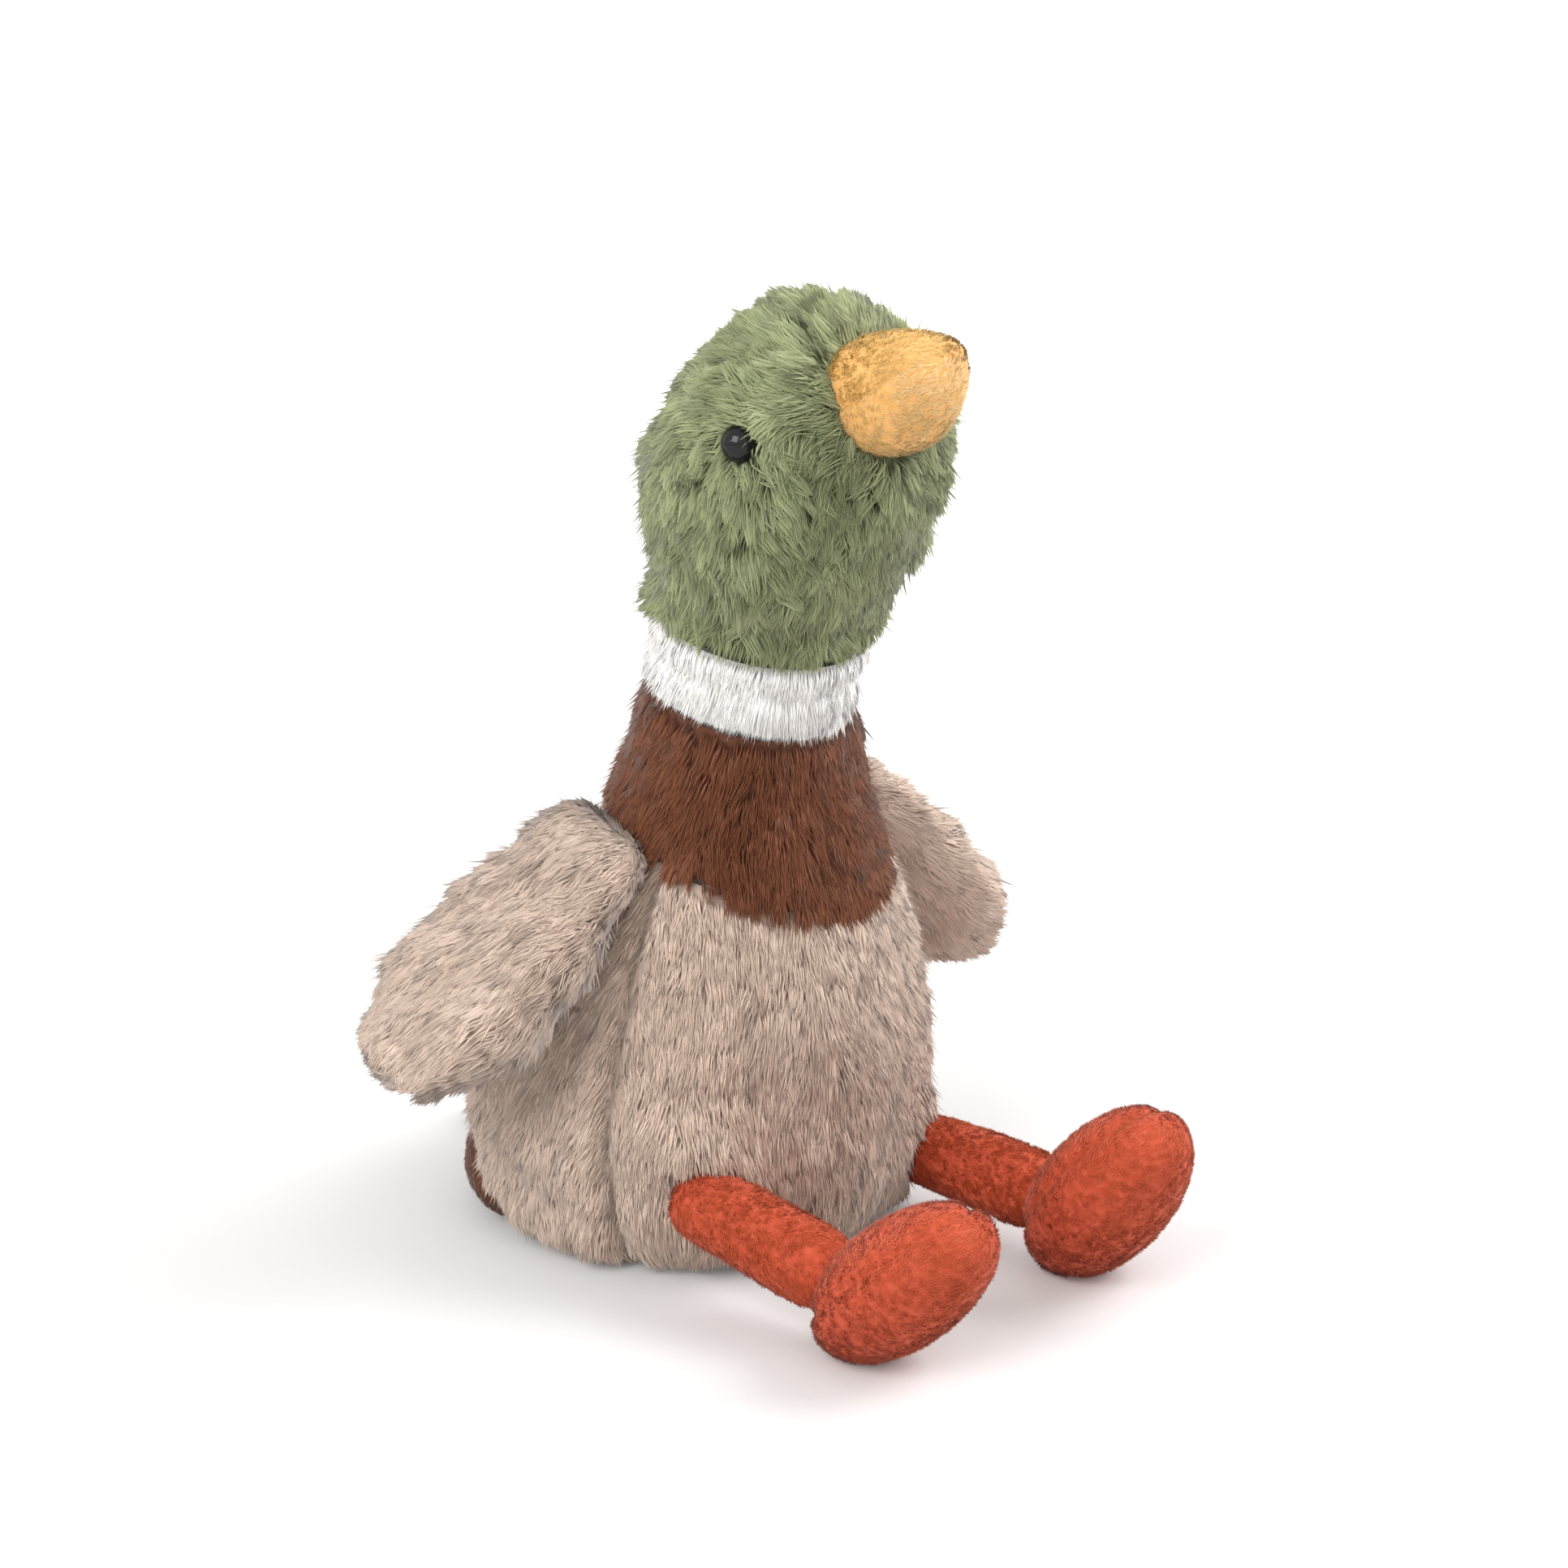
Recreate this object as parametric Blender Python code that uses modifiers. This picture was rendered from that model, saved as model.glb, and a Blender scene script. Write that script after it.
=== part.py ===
"""A sitting plush duck, modelled the way it is sewn and stuffed.

Metres, +Z up. The duck looks along -Y and its left is +X. The origin is the centre of the
flat base, on the surface that the toy sits on.

Every soft form is a UV sphere whose rings are moved to a table of sections, rounded by
Subdivision Surface. Its cover is the outer skin with a wall thickness, cut along the seams,
and its stuffing is the same form drawn in by the wall and a small gap.
"""

import math

import bmesh
import bpy
from mathutils import Matrix, Vector

# Clearances
SEAM_GAP = 0.0003
FILL_GAP = 0.0006
FLAT_CUT = 0.0005
CUT_REACH = 0.8

# Walls of the covers, cloth and pile together
PILE_WALL = 0.005
TRIM_WALL = 0.0016
VELOUR_WALL = 0.002

# Trunk
BODY_HEIGHT = 0.1295
BELLY_RADIUS = 0.055
NECK_RADIUS = 0.025
NECK_FORWARD = 0.020
NECK_LEAN = math.radians(14)
BIB_DROP = 0.0310
BIB_LEAN = math.radians(19)
BASE_RADIUS = 0.040
SIDE_SEAM_FORWARD = 0.0245
BEAN_BAG_RADIUS = 0.036
BEAN_BAG_HEIGHT = 0.029
BEAN_BAG_SUNK = 0.003
RUMP_START = 0.0165
RUMP_SLOPE = math.radians(33)

# Ring round the neck, and the ball seat that the head nods in
COLLAR_HEIGHT = 0.020
COLLAR_WALL = 0.0045
SEAT_RADIUS = 0.030
SEAT_RIM_SHARE = 0.98

# Head
HEAD_HEIGHT = 0.0773
HEAD_RADIUS = 0.034
HEAD_FORWARD = 0.0165
GUSSET_WIDTH = 0.020

# Bill
BILL_LENGTH = 0.038
BILL_WIDTH = 0.031
BILL_DEPTH = 0.031
BILL_PITCH = math.radians(20)
BILL_HEIGHT_SHARE = 0.725
BILL_SUNK_SHARE = 0.59

# Eyes, plastic domes on a stem with a washer behind the cover
EYE_DIAMETER = 0.0085
EYE_DOME_DEPTH = 0.0042
EYE_SUNK = 0.0054
EYE_STEM_DIAMETER = 0.003
EYE_STEM_LENGTH = 0.0085
EYE_AZIMUTH = math.radians(73)
EYE_TILT = math.radians(14)
EYE_HEIGHT_SHARE = 0.622
WASHER_DIAMETER = 0.010
WASHER_DEPTH = 0.0012
WASHER_BEHIND = 0.0034

# Wings
WING_LENGTH = 0.071
WING_WIDTH = 0.0485
WING_DEPTH = 0.017
WING_ROOT_HEIGHT_SHARE = {"left": 0.742, "right": 0.764}
WING_ROOT_AZIMUTH = math.radians(101)
WING_STAND_OFF = {"left": 0.0056, "right": 0.0044}
WING_ROOT_RADIUS = 0.0052
WING_HINGE_YAW = math.radians(12)
WING_HINGE_RISE = {"left": math.radians(-18), "right": math.radians(12)}
WING_DROP = {"left": math.radians(52), "right": math.radians(42)}
WING_SWEEP = {"left": math.radians(2), "right": math.radians(21)}

# Legs
LEG_LENGTH = 0.038
LEG_HIP_RADIUS = 0.0086
LEG_ANKLE_RADIUS = 0.0104
HIP_HEIGHT = {"left": 0.0155, "right": 0.0225}
HIP_AZIMUTH = {"left": math.radians(34), "right": math.radians(41)}
HIP_STAND_OFF = 0.0025
LEG_OPENING = 0.0048
LEG_TOE_IN = {"left": math.radians(-3), "right": math.radians(6)}

# Feet
FOOT_LENGTH = 0.0545
FOOT_WIDTH = 0.035
FOOT_DEPTH = 0.029
FOOT_PITCH = {"left": math.radians(52), "right": math.radians(43)}
FOOT_TOE_IN = math.radians(6)
FOOT_SEAM_SET = 0.005
ANKLE_BACK = 0.016
ANKLE_OUT = 0.0083
ANKLE_SWING = math.radians(12)

# Tail
TAIL_LENGTH = 0.017
TAIL_WIDTH = 0.027
TAIL_DEPTH = 0.012
TAIL_HEIGHT = 0.0068
TAIL_ROOT_RADIUS = 0.0045
TAIL_STAND_OFF = 0.0020

# Section tables. Each row is: place along the form, then the radius or half axes.
# Trunk: share of BODY_HEIGHT, share of BELLY_RADIUS, share of NECK_RADIUS, share of NECK_FORWARD
TRUNK_SHARES = (
    (0.000, 0.88, 0.00, 0.05),
    (0.046, 0.97, 0.00, 0.05),
    (0.208, 1.02, 0.00, 0.15),
    (0.425, 0.955, 0.00, 0.40),
    (0.633, 0.75, 0.00, 0.70),
    (0.819, 0.00, 1.18, 0.85),
    (0.988, 0.00, 1.00, 0.97),
    (1.110, 0.00, 0.98, 1.14),
)
TRUNK_TOP_SHARE = 1.12
# Head: share of HEAD_HEIGHT, share of NECK_RADIUS, share of HEAD_RADIUS, share of HEAD_FORWARD
HEAD_SHARES = (
    (-0.193, 0.976, 0.00, 0.09),
    (0.000, 1.01, 0.00, 0.30),
    (0.131, 0.50, 0.485, 0.655),
    (0.338, 0.00, 1.03, 0.97),
    (0.558, 0.00, 1.05, 1.05),
    (0.771, 0.00, 0.86, 1.08),
    (0.926, 0.00, 0.51, 1.10),
)
HEAD_END_SHARES = (-0.25, 1.0)
# Limbs: share of the length, then shares of the half width and the half depth
WING_SHARES = (
    (0.15, 0.80, 0.80),
    (0.66, 1.04, 1.05),
    (0.96, 0.58, 0.60),
)
WING_ROOT_SHARES = (-0.8, 0.58, 0.85)
LEG_SHARES = ((-0.74, 0.88), (0.90, 1.09))
LEG_END_SHARES = ((-0.10, 1.04),)
FOOT_SHARES = (
    (0.05, 0.56, 0.58),
    (0.32, 1.00, 1.02),
    (0.70, 0.97, 0.96),
    (0.95, 0.50, 0.50),
)
TAIL_SHARES = (
    (0.22, 1.00, 1.00),
    (0.86, 0.62, 0.76),
)
TAIL_ROOT_SHARES = (-0.8, 0.74, 0.85)
BILL_SHARES = (
    (0.10, 0.96, 0.98),
    (0.62, 1.04, 0.96),
    (0.93, 0.72, 0.46),
)
BEAN_BAG_SHARES = ((0.10, 0.80), (0.55, 1.02), (0.92, 0.72))

# Cage segments round each form
TRUNK_SEGMENTS = 10
HEAD_SEGMENTS = 8
LIMB_SEGMENTS = 6
ROUND_SEGMENTS = 20
EYE_SEGMENTS = 12

# Colours, linear
TAUPE = (0.42, 0.33, 0.27, 1)
CHESTNUT = (0.16, 0.045, 0.015, 1)
WHITE = (0.85, 0.84, 0.80, 1)
GREEN = (0.13, 0.19, 0.08, 1)
GOLD = (0.85, 0.45, 0.10, 1)
RUST = (0.52, 0.085, 0.02, 1)
BLACK = (0.01, 0.01, 0.01, 1)
FIBRE = (0.80, 0.80, 0.78, 1)
LINEN = (0.60, 0.55, 0.48, 1)

SIDES = (("left", 1), ("right", -1))
UP = Vector((0, 0, 1))

parts = bpy.data.collections.new("plush_duck")
cutters = bpy.data.collections.new("cutters")


def clear_scene():
    for obj in list(bpy.data.objects):
        bpy.data.objects.remove(obj)


def material(name, colour, roughness):
    mat = bpy.data.materials.new(name)
    mat.use_nodes = True
    shader = mat.node_tree.nodes["Principled BSDF"]
    shader.inputs["Base Color"].default_value = colour
    shader.inputs["Roughness"].default_value = roughness
    shader.inputs["Metallic"].default_value = 0
    return mat


def add_object(name, mesh, collection, colour=None, roughness=0.95):
    obj = bpy.data.objects.new(name, mesh)
    collection.objects.link(obj)
    mesh.shade_smooth()
    if colour is None:
        obj.hide_render = True
        obj.display_type = "WIRE"
    else:
        mesh.materials.append(material(name, colour, roughness))
        mesh.set_sharp_from_angle(angle=math.radians(40))
    return obj


def ring_mesh(name, first, rings, last, segments):
    """A UV sphere with each ring moved to (centre, side half axis, front half axis)."""
    bm = bmesh.new()
    bmesh.ops.create_uvsphere(bm, u_segments=segments, v_segments=len(rings) + 1, radius=1)
    step = math.pi / (len(rings) + 1)
    # Subdivision draws a ring of few corners in, so the cage is wider by as much
    swell = 1 / (0.75 + 0.25 * math.cos(math.tau / segments))
    for vert in bm.verts:
        row = round(math.acos(max(-1, min(1, -vert.co.z))) / step)
        if row == 0:
            vert.co = first
        elif row == len(rings) + 1:
            vert.co = last
        else:
            centre, side, front = rings[row - 1]
            turn = math.atan2(vert.co.y, vert.co.x)
            vert.co = centre + swell * (math.cos(turn) * side + math.sin(turn) * front)
    mesh = bpy.data.meshes.new(name)
    bm.to_mesh(mesh)
    bm.free()
    return mesh


def soft(obj, wall=0.0, inset=0.0):
    """Round the cage; then give it a wall inwards, or draw it in by inset."""
    rounding = obj.modifiers.new("rounding", "SUBSURF")
    rounding.levels = 1
    rounding.render_levels = 1
    if inset:
        draw_in = obj.modifiers.new("draw_in", "DISPLACE")
        draw_in.mid_level = 0
        draw_in.strength = -inset
    if wall:
        skin = obj.modifiers.new("skin", "SOLIDIFY")
        skin.thickness = wall
        skin.offset = -1
    return obj


def cut(obj, *tools):
    for tool in tools:
        trim = obj.modifiers.new("cut", "BOOLEAN")
        trim.operation = "DIFFERENCE"
        trim.solver = "EXACT"
        trim.object = tool
    return obj


def keep(obj, tool):
    trim = obj.modifiers.new("keep", "BOOLEAN")
    trim.operation = "INTERSECT"
    trim.solver = "EXACT"
    trim.object = tool
    return obj


def place(obj, location, rotation=None):
    matrix = rotation.to_4x4() if rotation else Matrix.Identity(4)
    obj.matrix_world = Matrix.Translation(location) @ matrix
    return obj


def axes(x_axis, y_axis):
    """A rotation whose X is x_axis and whose Y is y_axis, made square to it."""
    x_axis = x_axis.normalized()
    z_axis = x_axis.cross(y_axis).normalized()
    return Matrix((x_axis, z_axis.cross(x_axis), z_axis)).transposed()


def beyond(name, point, normal):
    """A block that takes away all that lies behind a plane; normal points to what stays."""
    bm = bmesh.new()
    bmesh.ops.create_cube(bm, size=CUT_REACH)
    mesh = bpy.data.meshes.new(name)
    bm.to_mesh(mesh)
    bm.free()
    normal = normal.normalized()
    block = add_object(name, mesh, cutters)
    return place(block, point - normal * CUT_REACH / 2, normal.to_track_quat("Z", "Y").to_matrix())


def ball(name, centre, radius, segments):
    """A ball cutter whose flat facets keep at least the given radius."""
    bm = bmesh.new()
    corner = radius / math.cos(math.pi / segments) ** 2
    bmesh.ops.create_uvsphere(bm, u_segments=segments, v_segments=segments // 2, radius=corner)
    mesh = bpy.data.meshes.new(name)
    bm.to_mesh(mesh)
    bm.free()
    return place(add_object(name, mesh, cutters), centre)


def rod(name, centre, axis, radius, length):
    """A plain cylinder cutter centred on a point."""
    bm = bmesh.new()
    bmesh.ops.create_cone(bm, cap_ends=True, segments=ROUND_SEGMENTS, radius1=radius, radius2=radius, depth=length)
    mesh = bpy.data.meshes.new(name)
    bm.to_mesh(mesh)
    bm.free()
    return place(add_object(name, mesh, cutters), centre, axis.to_track_quat("Z", "Y").to_matrix())


def turned(name, profile, segments, collection, colour=None, roughness=0.95):
    """Turn a profile of (radius, height) points about Z; one clear of the axis is a closed loop."""
    mesh = bpy.data.meshes.new(name)
    points = [(radius, 0, height) for radius, height in profile]
    edges = [(i, i + 1) for i in range(len(points) - 1)]
    if profile[0][0] and profile[-1][0]:
        edges.append((len(points) - 1, 0))
    mesh.from_pydata(points, edges, [])
    obj = add_object(name, mesh, collection, colour, roughness)
    screw = obj.modifiers.new("turn", "SCREW")
    screw.steps = segments
    screw.render_steps = segments
    screw.use_merge_vertices = True
    screw.merge_threshold = 0.00001
    screw.use_normal_calculate = False
    return obj


def pivot(name, location, rotation, pieces):
    """An empty on a joint's axis that carries its pieces."""
    empty = bpy.data.objects.new(name, None)
    parts.objects.link(empty)
    place(empty, location, rotation)
    bpy.context.view_layer.update()
    for piece in pieces:
        piece.parent = empty
        piece.matrix_parent_inverse = empty.matrix_world.inverted()
    return empty


def blend_rows(rows, column, share):
    """The value of a table's column at a share along it, on straight runs between rows."""
    for low, high in zip(rows, rows[1:]):
        if share <= high[0]:
            part = (share - low[0]) / (high[0] - low[0])
            return low[column] + part * (high[column] - low[column])
    return rows[-1][column]


def trunk_radius(height):
    share = height / BODY_HEIGHT
    belly = blend_rows(TRUNK_SHARES, 1, share)
    neck = blend_rows(TRUNK_SHARES, 2, share)
    return belly * BELLY_RADIUS + neck * NECK_RADIUS


def trunk_centre(height):
    forward = blend_rows(TRUNK_SHARES, 3, height / BODY_HEIGHT)
    return Vector((0, -forward * NECK_FORWARD, height))


def trunk_point(height, azimuth, side, stand_off):
    """A point that stands off the trunk's skin; azimuth is counted from the front."""
    reach = trunk_radius(height) + stand_off
    return trunk_centre(height) + reach * Vector((side * math.sin(azimuth), -math.cos(azimuth), 0))


# Neck axis: the collar and the head sit square on it
neck_axis = Vector((0, -math.sin(NECK_LEAN), math.cos(NECK_LEAN)))
neck_top = Vector((0, -NECK_FORWARD, BODY_HEIGHT))
collar_top = neck_top + COLLAR_HEIGHT * neck_axis
seat_drop = math.sqrt(SEAT_RADIUS ** 2 - (SEAT_RIM_SHARE * NECK_RADIUS) ** 2)
nod_centre = collar_top + seat_drop * neck_axis


def trunk_form(name, collection, colour=None, **skin):
    rings = []
    for height, belly, neck, forward in TRUNK_SHARES:
        radius = belly * BELLY_RADIUS + neck * NECK_RADIUS
        centre = Vector((0, -forward * NECK_FORWARD, height * BODY_HEIGHT - (0 if height else FLAT_CUT)))
        rings.append((centre, Vector((radius, 0, 0)), Vector((0, radius, 0))))
    top_forward = TRUNK_SHARES[-1][3] * NECK_FORWARD
    first = Vector((0, rings[0][0].y, -FLAT_CUT))
    last = Vector((0, -top_forward, TRUNK_TOP_SHARE * BODY_HEIGHT))
    mesh = ring_mesh(name, first, rings, last, TRUNK_SEGMENTS)
    return soft(add_object(name, mesh, collection, colour), **skin)


def head_point(height_share, forward_share):
    return Vector((0, -NECK_FORWARD - forward_share * HEAD_FORWARD, collar_top.z + height_share * HEAD_HEIGHT))


def head_form(name, collection, colour=None, **skin):
    rings = []
    for height, neck, head, forward in HEAD_SHARES:
        radius = neck * NECK_RADIUS + head * HEAD_RADIUS
        rings.append((head_point(height, forward), Vector((radius, 0, 0)), Vector((0, radius, 0))))
    first = head_point(HEAD_END_SHARES[0], HEAD_SHARES[0][3])
    last = head_point(HEAD_END_SHARES[1], HEAD_SHARES[-1][3])
    mesh = ring_mesh(name, first, rings, last, HEAD_SEGMENTS)
    return soft(add_object(name, mesh, collection, colour), **skin)


def limb_mesh(name, first, rows, last, segments=LIMB_SEGMENTS):
    """A form along local X: rows of (place along X, half width along Y, half depth along Z)."""
    rings = []
    for along, width, depth in rows:
        rings.append((Vector((along, 0, 0)), Vector((0, width, 0)), Vector((0, 0, depth))))
    return ring_mesh(name, Vector((first, 0, 0)), rings, Vector((last, 0, 0)), segments)


def make_trunk(hip_pockets, wing_pockets, tail_pocket):
    floor = beyond("floor_cut", Vector((0, 0, 0)), UP)
    neck_cut = beyond("neck_cut", neck_top - SEAM_GAP * neck_axis, -neck_axis)
    bib_point = neck_top - BIB_DROP * UP
    bib_up = Vector((0, -math.sin(BIB_LEAN), math.cos(BIB_LEAN)))
    above_bib = beyond("above_bib", bib_point + SEAM_GAP / 2 * bib_up, bib_up)
    below_bib = beyond("below_bib", bib_point - SEAM_GAP / 2 * bib_up, -bib_up)
    side_seam = Vector((0, -SIDE_SEAM_FORWARD, 0))
    forward = Vector((0, -1, 0))
    in_front = beyond("in_front", side_seam + SEAM_GAP / 2 * forward, forward)
    behind = beyond("behind", side_seam - SEAM_GAP / 2 * forward, -forward)
    base_hole = rod("base_hole", Vector((0, 0, 0)), UP, BASE_RADIUS + SEAM_GAP, 6 * PILE_WALL)
    base_disc = rod("base_disc", Vector((0, 0, 0)), UP, BASE_RADIUS, 6 * PILE_WALL)
    rump_up = Vector((0, -math.sin(RUMP_SLOPE), math.cos(RUMP_SLOPE)))
    rump_edge = Vector((0, RUMP_START, 0))
    below_rump = beyond("below_rump", rump_edge + SEAM_GAP / 2 * rump_up, rump_up)
    above_rump = beyond("above_rump", rump_edge - SEAM_GAP / 2 * rump_up, -rump_up)

    front = trunk_form("body_front_panel", parts, TAUPE, wall=PILE_WALL)
    cut(front, below_bib, in_front, base_hole, floor, *hip_pockets, *wing_pockets)
    for side, sign in SIDES:
        back = trunk_form("body_back_" + side, parts, TAUPE, wall=PILE_WALL)
        across = Vector((sign, 0, 0))
        half = beyond("back_seam_" + side, SEAM_GAP / 2 * across, across)
        cut(back, below_bib, behind, half, below_rump, base_hole, floor, *hip_pockets, *wing_pockets)
    rump = trunk_form("rump_panel", parts, CHESTNUT, wall=PILE_WALL)
    cut(rump, base_hole, above_rump, floor, tail_pocket)
    neck = trunk_form("neck_cover", parts, CHESTNUT, wall=PILE_WALL)
    cut(neck, above_bib, neck_cut, *wing_pockets)
    base = trunk_form("base_panel", parts, TAUPE, wall=PILE_WALL)
    cut(keep(base, base_disc), floor)

    bag_rows = []
    for height, radius in BEAN_BAG_SHARES:
        centre = Vector((0, 0, PILE_WALL - BEAN_BAG_SUNK + height * BEAN_BAG_HEIGHT))
        reach = radius * BEAN_BAG_RADIUS
        bag_rows.append((centre, Vector((reach, 0, 0)), Vector((0, reach, 0))))
    bag_bottom = Vector((0, 0, PILE_WALL - BEAN_BAG_SUNK))
    bag_mesh = ring_mesh("bean_bag", bag_bottom, bag_rows, bag_bottom + BEAN_BAG_HEIGHT * UP, LIMB_SEGMENTS + 2)
    bag = soft(add_object("bean_bag", bag_mesh, parts, LINEN))
    cut(bag, beyond("under_bag", Vector((0, 0, PILE_WALL)), UP))
    bag_room = soft(add_object("bag_room", bag_mesh.copy(), cutters), inset=-SEAM_GAP)
    stuffing = trunk_form("body_stuffing", parts, FIBRE, inset=PILE_WALL + SEAM_GAP)
    cut(stuffing, neck_cut, bag_room, *hip_pockets)


def make_collar():
    """The white ring: a band of pile round the neck, its top hollowed to the ball seat."""
    middle = NECK_RADIUS - COLLAR_WALL
    seat = ball("seat_hollow", nod_centre, SEAT_RADIUS + SEAM_GAP, ROUND_SEGMENTS)
    turn = neck_axis.to_track_quat("Z", "Y").to_matrix()
    band = turned(
        "collar",
        ((NECK_RADIUS, COLLAR_HEIGHT), (NECK_RADIUS, 0), (middle, 0), (middle, COLLAR_HEIGHT)),
        ROUND_SEGMENTS, parts, WHITE)
    core_radius = middle - SEAM_GAP
    core = turned(
        "collar_stuffing",
        ((0, COLLAR_HEIGHT), (core_radius, COLLAR_HEIGHT), (core_radius, 0), (0, 0)),
        ROUND_SEGMENTS, parts, FIBRE)
    for piece in (band, core):
        place(piece, neck_top, turn)
        cut(piece, seat)
    pivot("head_turn", neck_top, turn, (band, core))


def make_head():
    outer = SEAT_RADIUS * 2
    # A bowl block that takes the head away below the ball's equator, outside the ball
    steps = ROUND_SEGMENTS // 4
    bowl_profile = [(0, -SEAT_RADIUS)]
    for i in range(1, steps + 1):
        turn = math.pi / 2 * i / steps
        bowl_profile.append((SEAT_RADIUS * math.sin(turn), -SEAT_RADIUS * math.cos(turn)))
    bowl_profile += [(outer, 0), (outer, -outer), (0, -outer)]
    bowl = turned("seat_bowl", bowl_profile, ROUND_SEGMENTS, cutters)
    turn = neck_axis.to_track_quat("Z", "Y").to_matrix()
    place(bowl, nod_centre, turn)

    pieces = []
    across = Vector((1, 0, 0))
    gusset = head_form("head_gusset", parts, GREEN, wall=PILE_WALL)
    for side, sign in SIDES:
        edge = Vector((sign * (GUSSET_WIDTH / 2 - SEAM_GAP / 2), 0, 0))
        cut(gusset, beyond("gusset_edge_" + side, edge, -sign * across))
    cut(gusset, bowl)
    pieces.append(gusset)

    stuffing = head_form("head_stuffing", parts, FIBRE, inset=PILE_WALL + SEAM_GAP)
    cut(stuffing, bowl)
    pieces.append(stuffing)

    for side, sign in SIDES:
        cover = head_form("head_side_" + side, parts, GREEN, wall=PILE_WALL)
        edge = Vector((sign * (GUSSET_WIDTH / 2 + SEAM_GAP / 2), 0, 0))
        cut(cover, beyond("side_edge_" + side, edge, sign * across), bowl)
        eye_pieces, eye_cuts, washer_cuts = make_eye(side, sign)
        cut(cover, *eye_cuts)
        cut(stuffing, *washer_cuts)
        pieces.append(cover)
        pieces.extend(eye_pieces)

    pieces.extend(make_bill())
    pivot("head_nod", nod_centre, Matrix.Rotation(math.pi / 2, 3, "Y"), pieces)


def make_eye(side, sign):
    """A dome with a stem through the cover, and a washer that holds it from inside."""
    forward = blend_rows(HEAD_SHARES, 3, EYE_HEIGHT_SHARE)
    radius = blend_rows(HEAD_SHARES, 2, EYE_HEIGHT_SHARE) * HEAD_RADIUS
    level = Vector((sign * math.sin(EYE_AZIMUTH), -math.cos(EYE_AZIMUTH), 0))
    outwards = math.cos(EYE_TILT) * level + math.sin(EYE_TILT) * UP
    seat = head_point(EYE_HEIGHT_SHARE, forward) + radius * level - EYE_SUNK * outwards
    turn = outwards.to_track_quat("Z", "Y").to_matrix()
    dome_radius = EYE_DIAMETER / 2
    stem_radius = EYE_STEM_DIAMETER / 2
    steps = EYE_SEGMENTS // 3
    profile = []
    for i in range(steps + 1):
        bend = math.pi / 2 * i / steps
        profile.append((dome_radius * math.sin(bend), EYE_DOME_DEPTH * math.cos(bend)))
    profile += [(stem_radius, 0), (stem_radius, -EYE_STEM_LENGTH), (0, -EYE_STEM_LENGTH)]
    eye = turned("eye_" + side, profile, EYE_SEGMENTS, parts, BLACK, 0.08)
    bore = stem_radius + SEAM_GAP
    rim = WASHER_DIAMETER / 2
    washer_top = -WASHER_BEHIND
    washer = turned(
        "eye_washer_" + side,
        ((rim, washer_top), (rim, washer_top - WASHER_DEPTH), (bore, washer_top - WASHER_DEPTH), (bore, washer_top)),
        EYE_SEGMENTS, parts, FIBRE, 0.5)
    place(eye, seat, turn)
    place(washer, seat, turn)
    open_length = EYE_DOME_DEPTH + 2 * EYE_SUNK
    socket = rod("eye_socket_" + side, seat + (open_length / 2 - SEAM_GAP) * outwards, outwards,
                 dome_radius + SEAM_GAP, open_length)
    hole = rod("eye_hole_" + side, seat, outwards, bore, 3 * EYE_STEM_LENGTH)
    room_length = EYE_STEM_LENGTH + SEAM_GAP + EYE_DOME_DEPTH
    room_middle = seat + (EYE_DOME_DEPTH - room_length / 2) * outwards
    room = rod("washer_room_" + side, room_middle, outwards, rim + SEAM_GAP, room_length)
    return (eye, washer), (socket, hole), (room,)


def make_bill():
    """A broad rounded wedge sewn on the front of the head, upper and lower covers."""
    forward_share = blend_rows(HEAD_SHARES, 3, BILL_HEIGHT_SHARE)
    radius = blend_rows(HEAD_SHARES, 2, BILL_HEIGHT_SHARE) * HEAD_RADIUS
    root = head_point(BILL_HEIGHT_SHARE, forward_share) + Vector((0, -radius, 0))
    ahead = Vector((0, -math.cos(BILL_PITCH), math.sin(BILL_PITCH)))
    turn = axes(ahead, Vector((1, 0, 0)))
    start = root - BILL_SUNK_SHARE * BILL_LENGTH * ahead
    rows = [(s * BILL_LENGTH, w * BILL_WIDTH / 2, d * BILL_DEPTH / 2) for s, w, d in BILL_SHARES]
    mesh = limb_mesh("bill", 0, rows, BILL_LENGTH, LIMB_SEGMENTS + 2)
    head_room = head_form("head_room", cutters, inset=-SEAM_GAP)
    thick = turn @ UP
    pieces = []
    for name, sign in (("bill_upper", 1), ("bill_lower", -1)):
        cover = add_object(name, mesh.copy(), parts, GOLD)
        place(cover, start, turn)
        soft(cover, wall=VELOUR_WALL)
        way = sign * thick * (1 if thick.z > 0 else -1)
        cut(cover, beyond(name + "_seam", root + SEAM_GAP / 2 * way, way), head_room)
        pieces.append(cover)
    stuffing = add_object("bill_stuffing", mesh.copy(), parts, FIBRE)
    place(stuffing, start, turn)
    soft(stuffing, inset=VELOUR_WALL + FILL_GAP)
    cut(stuffing, head_room)
    pieces.append(stuffing)
    return pieces


def wing_frame(side, sign):
    """Root point and axes: X along the wing, Y along its hinge."""
    height = WING_ROOT_HEIGHT_SHARE[side] * BODY_HEIGHT
    root = trunk_point(height, WING_ROOT_AZIMUTH, sign, WING_STAND_OFF[side])
    drop = WING_DROP[side]
    sweep = WING_SWEEP[side]
    along = Vector((sign * math.cos(drop) * math.cos(sweep), math.cos(drop) * math.sin(sweep), -math.sin(drop)))
    level = math.cos(WING_HINGE_RISE[side])
    rise = math.sin(WING_HINGE_RISE[side])
    hinge = Vector((-sign * math.sin(WING_HINGE_YAW) * level, math.cos(WING_HINGE_YAW) * level, rise))
    return root, axes(along, hinge)


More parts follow.
